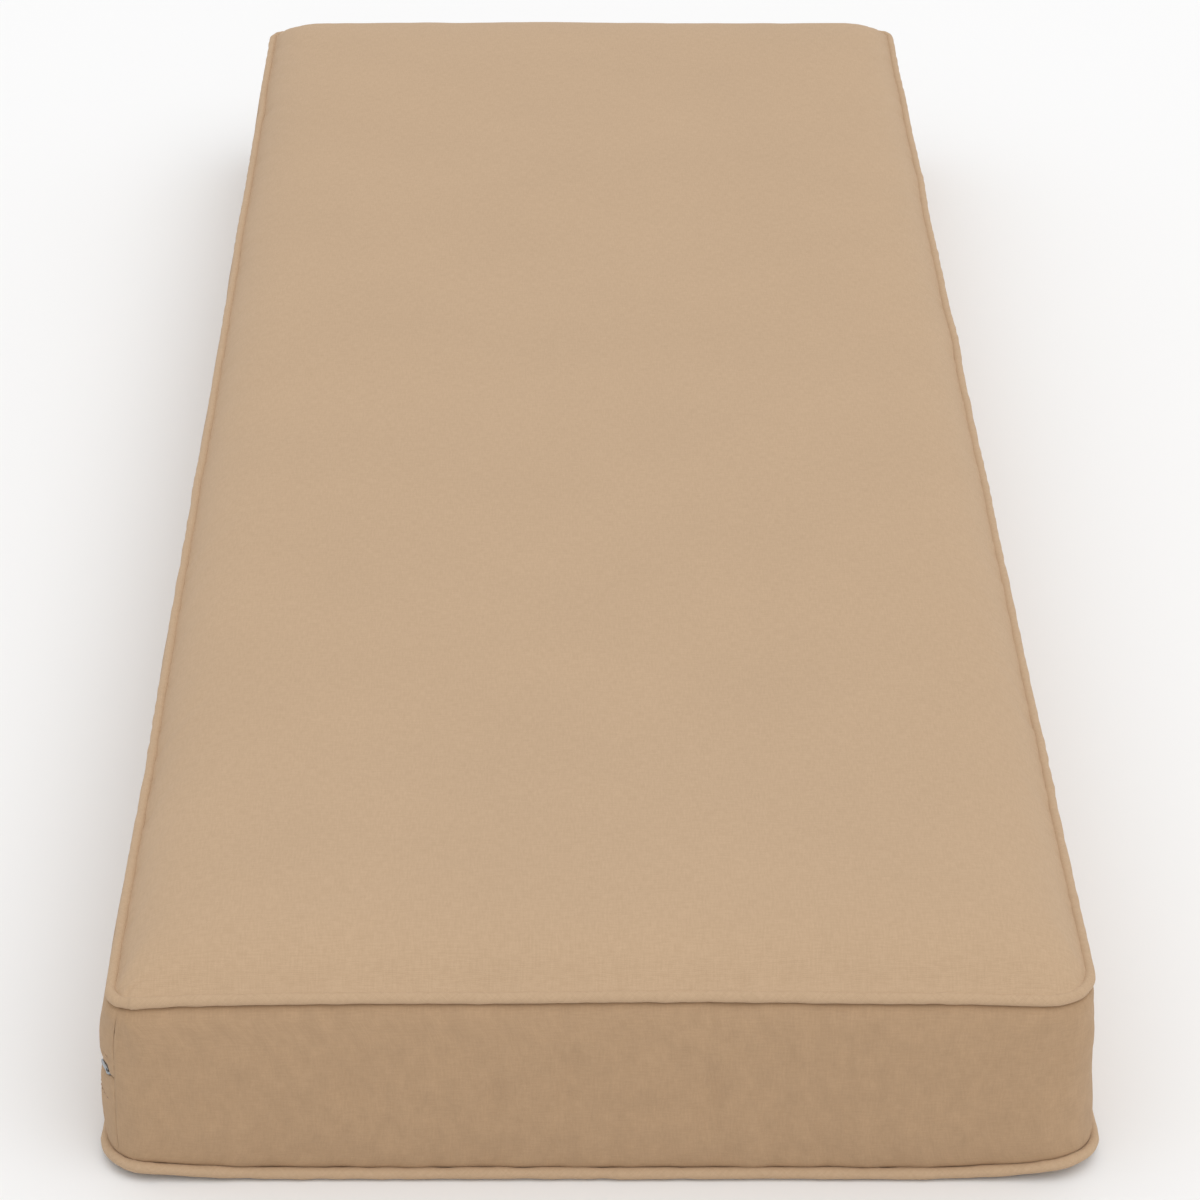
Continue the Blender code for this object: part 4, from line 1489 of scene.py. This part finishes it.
def weave_height(n, mm, pitch):
    """A plain weave as a height from 0 to 1: warp and weft take turns on top."""
    split = n.add("ShaderNodeSeparateXYZ")
    n.link(mm, split.inputs[0])
    u = n.maths("MULTIPLY", split.outputs[0], math.pi / pitch)
    v = n.maths("MULTIPLY", split.outputs[1], math.pi / pitch)
    across = n.maths("ABSOLUTE", n.maths("SINE", u))
    down = n.maths("ABSOLUTE", n.maths("SINE", v))
    checker = n.add("ShaderNodeTexChecker")
    n.link(mm, checker.inputs["Vector"])
    checker.inputs["Scale"].default_value = 1.0 / pitch
    over = checker.outputs["Fac"]
    warp = n.maths("MULTIPLY", n.maths("POWER", across, 0.6), n.maths("MULTIPLY_ADD", down, 0.45, 0.55))
    weft = n.maths("MULTIPLY", n.maths("POWER", down, 0.6), n.maths("MULTIPLY_ADD", across, 0.45, 0.55))
    node = n.add("ShaderNodeMix", data_type="FLOAT")
    n.link(over, node.inputs[0])
    n.link(warp, node.inputs[2])
    n.link(weft, node.inputs[3])
    return node.outputs[0], over


def cloth_material(name, base, turned=0.0, tone=1.0, pitch=0.62, gathered=False, mottle=0.006):
    """Heathered canvas: a plain weave of yarns spun from lighter and darker fibres."""
    n = Nodes(name)
    coordinates = n.add("ShaderNodeUVMap", uv_map="weave").outputs["UV"]
    mm = n.mapping(coordinates, scale=(1000.0, 1000.0, 1000.0), rotation=turned)
    # Yarns of uneven thickness never run quite straight.
    stray = n.add("ShaderNodeTexNoise", noise_dimensions="3D")
    n.link(mm, stray.inputs["Vector"])
    stray.inputs["Scale"].default_value = 0.16
    stray.inputs["Detail"].default_value = 2.0
    drift = n.add("ShaderNodeVectorMath", operation="MULTIPLY_ADD")
    n.link(stray.outputs["Color"], drift.inputs[0])
    drift.inputs[1].default_value = (1.3, 1.3, 0.0)
    n.link(mm, drift.inputs[2])
    height, over = weave_height(n, drift.outputs[0], pitch)

    # Slubs: fibres of another tone drawn out along the warp and along the weft.
    warp_tone = n.noise(n.mapping(mm, scale=(1.15, 0.16, 1.0)), 1.0, 3.0, 0.62)
    weft_tone = n.noise(n.mapping(mm, scale=(0.16, 1.15, 1.0), location=(31.0, 7.0, 3.0)), 1.0, 3.0, 0.62)
    yarn = n.add("ShaderNodeMix", data_type="FLOAT")
    n.link(over, yarn.inputs[0])
    n.link(warp_tone, yarn.inputs[2])
    n.link(weft_tone, yarn.inputs[3])
    both = n.maths("MULTIPLY_ADD", n.maths("ADD", warp_tone, weft_tone), 0.30, n.maths("MULTIPLY", yarn.outputs[0], 0.40))
    fleck = n.noise(n.mapping(mm, scale=(0.55, 0.55, 1.0), location=(5.0, 90.0, 0.0)), 1.0, 4.0, 0.7)
    patch = n.noise(n.mapping(mm, scale=(0.012, 0.012, 1.0), location=(11.0, 2.0, 0.0)), 1.0, 2.0, 0.5)

    light = tuple(min(1.0, c * f * tone) for c, f in zip(base, (1.08, 1.09, 1.11)))
    dark = tuple(c * f * tone for c, f in zip(base, (0.92, 0.91, 0.89)))
    plain = tuple(c * tone for c in base)
    colour = n.mix(n.span(both, 0.36, 0.64), dark, light)
    colour = n.mix(0.45, colour, plain)
    speck = n.span(fleck, 0.60, 0.78)
    colour = n.mix(n.maths("MULTIPLY", speck, 0.30), colour, light)
    dim = n.span(fleck, 0.40, 0.24)
    colour = n.mix(n.maths("MULTIPLY", dim, 0.28), colour, dark)
    # Painted shade darkens the gaps between yarns, and the dye is not quite even.
    gap = n.span(height, 0.10, 0.62, 0.88, 1.02)
    even = n.span(patch, 0.25, 0.75, 0.985, 1.015, smooth=False)
    # Blotches of uneven dye. Strong on the boxing (mottle 0.050), they also paint the soft shade of its
    # wrinkles.
    dye_blotches_and_fold_shade = n.noise(n.mapping(mm, scale=(0.14, 0.08, 1.0), location=(3.0, 17.0, 0.0)), 1.0, 3.0, 0.6)
    dye_blotches_and_fold_shade = n.span(dye_blotches_and_fold_shade, 0.28, 0.72, 1.0 - mottle, 1.0 + mottle, smooth=False)
    shade = n.maths("MULTIPLY", n.maths("MULTIPLY", gap, even), dye_blotches_and_fold_shade)
    grey = n.add("ShaderNodeCombineColor")
    for socket in grey.inputs[:3]:
        n.link(shade, socket)
    colour = n.mix(1.0, colour, grey.outputs[0], "MULTIPLY")
    n.link(colour, n.shader.inputs["Base Color"])

    rough = n.span(both, 0.3, 0.7, 0.88, 0.97, smooth=False)
    n.link(rough, n.shader.inputs["Roughness"])
    n.shader.inputs["Specular IOR Level"].default_value = 0.18
    n.shader.inputs["Sheen Weight"].default_value = 0.10
    n.shader.inputs["Sheen Roughness"].default_value = 0.55
    n.shader.inputs["Sheen Tint"].default_value = (1.0, 0.93, 0.84, 1.0)

    relief = n.maths("ADD", n.maths("MULTIPLY", height, 0.75), n.maths("MULTIPLY", both, 0.55))
    bump = n.add("ShaderNodeBump")
    bump.inputs["Strength"].default_value = 0.45
    bump.inputs["Distance"].default_value = 0.00014
    n.link(relief, bump.inputs["Height"])
    last = bump
    if gathered:
        drawn = n.noise(n.mapping(mm, scale=(0.10, 0.55, 1.0)), 1.0, 2.0, 0.5)
        pull = n.add("ShaderNodeBump")
        pull.inputs["Strength"].default_value = 0.5
        pull.inputs["Distance"].default_value = 0.0006
        n.link(drawn, pull.inputs["Height"])
        n.link(bump.outputs[0], pull.inputs["Normal"])
        last = pull
    n.link(last.outputs[0], n.shader.inputs["Normal"])
    return n.material


def tape_material(name, colour):
    """Fine ribbed zip tape."""
    n = Nodes(name)
    coordinates = n.add("ShaderNodeUVMap", uv_map="weave").outputs["UV"]
    mm = n.mapping(coordinates, scale=(1000.0, 1000.0, 1000.0))
    split = n.add("ShaderNodeSeparateXYZ")
    n.link(mm, split.inputs[0])
    rib = n.maths("ABSOLUTE", n.maths("SINE", n.maths("MULTIPLY", split.outputs[0], math.pi / 0.6)))
    thread = n.noise(n.mapping(mm, scale=(1.4, 0.5, 1.0)), 1.0, 2.0, 0.5)
    # Painted shade: the troughs between the ribs are darker than the rib tops.
    dark = tuple(c * 0.72 for c in colour)
    tone = n.mix(n.span(rib, 0.0, 0.8), dark, colour)
    tone = n.mix(n.span(thread, 0.35, 0.7, 0.0, 0.35), tone, tuple(min(1.0, c * 1.25) for c in colour))
    n.link(tone, n.shader.inputs["Base Color"])
    n.shader.inputs["Roughness"].default_value = 0.85
    n.shader.inputs["Specular IOR Level"].default_value = 0.2
    bump = n.add("ShaderNodeBump")
    bump.inputs["Strength"].default_value = 0.6
    bump.inputs["Distance"].default_value = 0.00012
    n.link(rib, bump.inputs["Height"])
    n.link(bump.outputs[0], n.shader.inputs["Normal"])
    return n.material


def thread_material(name, colour):
    """Twisted sewing thread, also used for the coil's filament."""
    n = Nodes(name)
    where = n.add("ShaderNodeTexCoord").outputs["Object"]
    mm = n.mapping(where, scale=(1000.0, 1000.0, 1000.0))
    twist = n.noise(n.mapping(mm, scale=(1.2, 1.2, 3.4)), 1.0, 2.0, 0.5)
    dark = tuple(c * 0.78 for c in colour)
    n.link(n.mix(n.span(twist, 0.35, 0.65), dark, colour), n.shader.inputs["Base Color"])
    n.link(n.span(twist, 0.3, 0.7, 0.5, 0.72, smooth=False), n.shader.inputs["Roughness"])
    n.shader.inputs["Specular IOR Level"].default_value = 0.35
    bump = n.add("ShaderNodeBump")
    bump.inputs["Strength"].default_value = 0.5
    bump.inputs["Distance"].default_value = 0.00008
    n.link(twist, bump.inputs["Height"])
    n.link(bump.outputs[0], n.shader.inputs["Normal"])
    return n.material


def metal_material(name, colour):
    """Nickel-grey metal, tumbled smooth, with faint handling marks."""
    n = Nodes(name)
    where = n.add("ShaderNodeTexCoord").outputs["Object"]
    mm = n.mapping(where, scale=(1000.0, 1000.0, 1000.0))
    cloud = n.noise(mm, 0.9, 4.0, 0.6)
    scuff = n.noise(n.mapping(mm, scale=(6.0, 6.0, 0.8)), 1.0, 3.0, 0.6)
    dull = tuple(c * 0.74 for c in colour)
    n.link(n.mix(n.span(cloud, 0.3, 0.75), colour, dull), n.shader.inputs["Base Color"])
    n.shader.inputs["Metallic"].default_value = 1.0
    n.link(n.span(scuff, 0.3, 0.8, 0.24, 0.46, smooth=False), n.shader.inputs["Roughness"])
    bump = n.add("ShaderNodeBump")
    bump.inputs["Strength"].default_value = 0.2
    bump.inputs["Distance"].default_value = 0.00004
    n.link(scuff, bump.inputs["Height"])
    n.link(bump.outputs[0], n.shader.inputs["Normal"])
    return n.material


# ---------------------------------------------------------------- stage
def make_camera():
    data = bpy.data.cameras.new("camera")
    data.lens = CAMERA_LENS
    data.sensor_width = 36.0
    data.shift_x = CAMERA_SHIFT_X
    data.clip_start, data.clip_end = 0.05, 60.0
    camera = bpy.data.objects.new("camera", data)
    camera.location = CAMERA_AT
    camera.rotation_euler = (math.radians(90.0 - CAMERA_PITCH), 0.0, 0.0)
    bpy.context.scene.collection.objects.link(camera)
    bpy.context.scene.camera = camera


def area_light(name, at, aim, size, power, colour=(1.0, 1.0, 1.0)):
    data = bpy.data.lights.new(name, "AREA")
    data.shape = "RECTANGLE"
    data.size, data.size_y = size
    data.energy = power
    data.color = colour
    made = bpy.data.objects.new(name, data)
    made.location = at
    made.rotation_euler = (Vector(aim) - Vector(at)).to_track_quat("-Z", "Y").to_euler()
    bpy.context.scene.collection.objects.link(made)
    return made


def make_stage():
    world = bpy.data.worlds.new("studio")
    bpy.context.scene.world = world
    world.use_nodes = True
    tree = world.node_tree
    sky = tree.nodes["Background"]
    # A dome, brightest overhead, with a bright band at the horizon behind the floor's edge.
    where = tree.nodes.new("ShaderNodeTexCoord")
    split = tree.nodes.new("ShaderNodeSeparateXYZ")
    tree.links.new(where.outputs["Generated"], split.inputs[0])
    ramp = tree.nodes.new("ShaderNodeMapRange")
    ramp.interpolation_type = "SMOOTHSTEP"
    tree.links.new(split.outputs["Z"], ramp.inputs["Value"])
    for key, number in (
        ("From Min", 0.03), ("From Max", 0.16), ("To Min", HORIZON), ("To Max", DOME),
    ):
        ramp.inputs[key].default_value = number
    rise = tree.nodes.new("ShaderNodeMath")
    rise.operation = "MULTIPLY_ADD"
    rise.use_clamp = False
    tree.links.new(split.outputs["Z"], rise.inputs[0])
    rise.inputs[1].default_value = ZENITH
    tree.links.new(ramp.outputs["Result"], rise.inputs[2])
    tree.links.new(rise.outputs[0], sky.inputs["Strength"])
    sky.inputs["Color"].default_value = (1.0, 1.0, 1.0, 1.0)

    key = bpy.data.lights.new("key", "SUN")
    key.energy = KEY
    key.angle = math.radians(55.0)
    key.color = (1.0, 1.0, 1.0)
    lamp = bpy.data.objects.new("key", key)
    lamp.location = (0.4, -0.9, 3.4)
    lamp.rotation_euler = Vector(KEY_FROM).to_track_quat("Z", "Y").to_euler()
    bpy.context.scene.collection.objects.link(lamp)
    area_light("front_fill", (1.9, -3.6, 0.95), (0.0, -0.5, 0.05), (1.6, 1.2), FILL, FILL_COLOUR)

    bm = bmesh.new()
    bmesh.ops.create_grid(bm, x_segments=1, y_segments=1, size=30.0)
    mesh = bpy.data.meshes.new("floor")
    bm.to_mesh(mesh)
    bm.free()
    n = Nodes("floor_white")
    n.shader.inputs["Base Color"].default_value = (0.88, 0.88, 0.88, 1.0)
    n.shader.inputs["Roughness"].default_value = 1.0
    n.shader.inputs["Specular IOR Level"].default_value = 0.0
    floor = new_object("floor", mesh, n.material)


# ---------------------------------------------------------------- build
def main():
    make_camera()
    make_stage()
    bpy.context.scene.view_settings.view_transform = "Standard"

    cloth = cloth_material("heather_canvas", CLOTH_COLOUR)
    # A darker, warmer copy of the cloth: painted shade of the upright sides and the zip strips.
    # mottle=0.050 paints the soft blotchy shade of the boxing's wrinkles into its colour.
    boxing_shaded_cloth = cloth_material("heather_canvas_boxing", BOXING_SHADED_COLOUR, mottle=0.050)
    bias = cloth_material("heather_canvas_bias", CLOTH_COLOUR, turned=math.radians(45), gathered=True)
    tape = tape_material("zip_tape_weave", (0.46, 0.32, 0.20))
    coil = thread_material("zip_coil_filament", (0.45, 0.31, 0.20))
    thread = thread_material("sewing_thread", (0.50, 0.35, 0.23))
    metal = metal_material("nickel_grey", (0.36, 0.39, 0.42))

    pad = make_pad(cloth, boxing_shaded_cloth)
    top_cord = make_piping(
        "piping_top_cord", -PIPING_RADIUS, PIPING_TOP - PIPING_RADIUS, 2.0, 0.0, 1.0, 61, bias
    )
    base_cord = make_piping(
        "piping_base_cord", BASE_SPREAD - PIPING_RADIUS, 0.7 + PIPING_RADIUS, 0.0, 1.0, 0.0, 63, bias
    )
    upper = make_strip("zip_strip_upper_cloth", 1, boxing_shaded_cloth)
    lower = make_strip("zip_strip_lower_cloth", -1, boxing_shaded_cloth)
    stitches = make_stitches(
        "zip_strip_stitches",
        (
            (ZIP_HEIGHT + STITCH_ABOVE, -0.45, 3.6, 0.74),
            (ZIP_HEIGHT - STITCH_BELOW, -0.45, 3.6, 0.74),
        ),
        thread,
    )
    band_piece = make_tape("zip_tape_band", tape)
    teeth = make_teeth("zip_coil_teeth", coil)
    body, flanges, bridge = make_slider(metal)
    pull = make_pull(metal)

    for piece, nodes, slot in (
        (pad, ("cushion_pad",), "cover_cloth"),
        (top_cord, ("piping_top",), "piping_cloth"),
        (base_cord, ("piping_base",), "piping_cloth"),
        (upper, ("zip_strip_upper",), "cover_cloth"),
        (lower, ("zip_strip_lower",), "cover_cloth"),
        (stitches, (), "cover_cloth"),
        (band_piece, ("zip_chain",), "zip_tape"),
        (teeth, ("zip_chain",), "zip_tape"),
        (body, ("zip_slider",), "zip_metal"),
        (flanges, ("zip_slider",), "zip_metal"),
        (bridge, ("zip_slider",), "zip_metal"),
        (pull, ("zip_pull",), "zip_metal"),
    ):
        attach(piece, "root")
        if nodes:
            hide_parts(*nodes)


main()
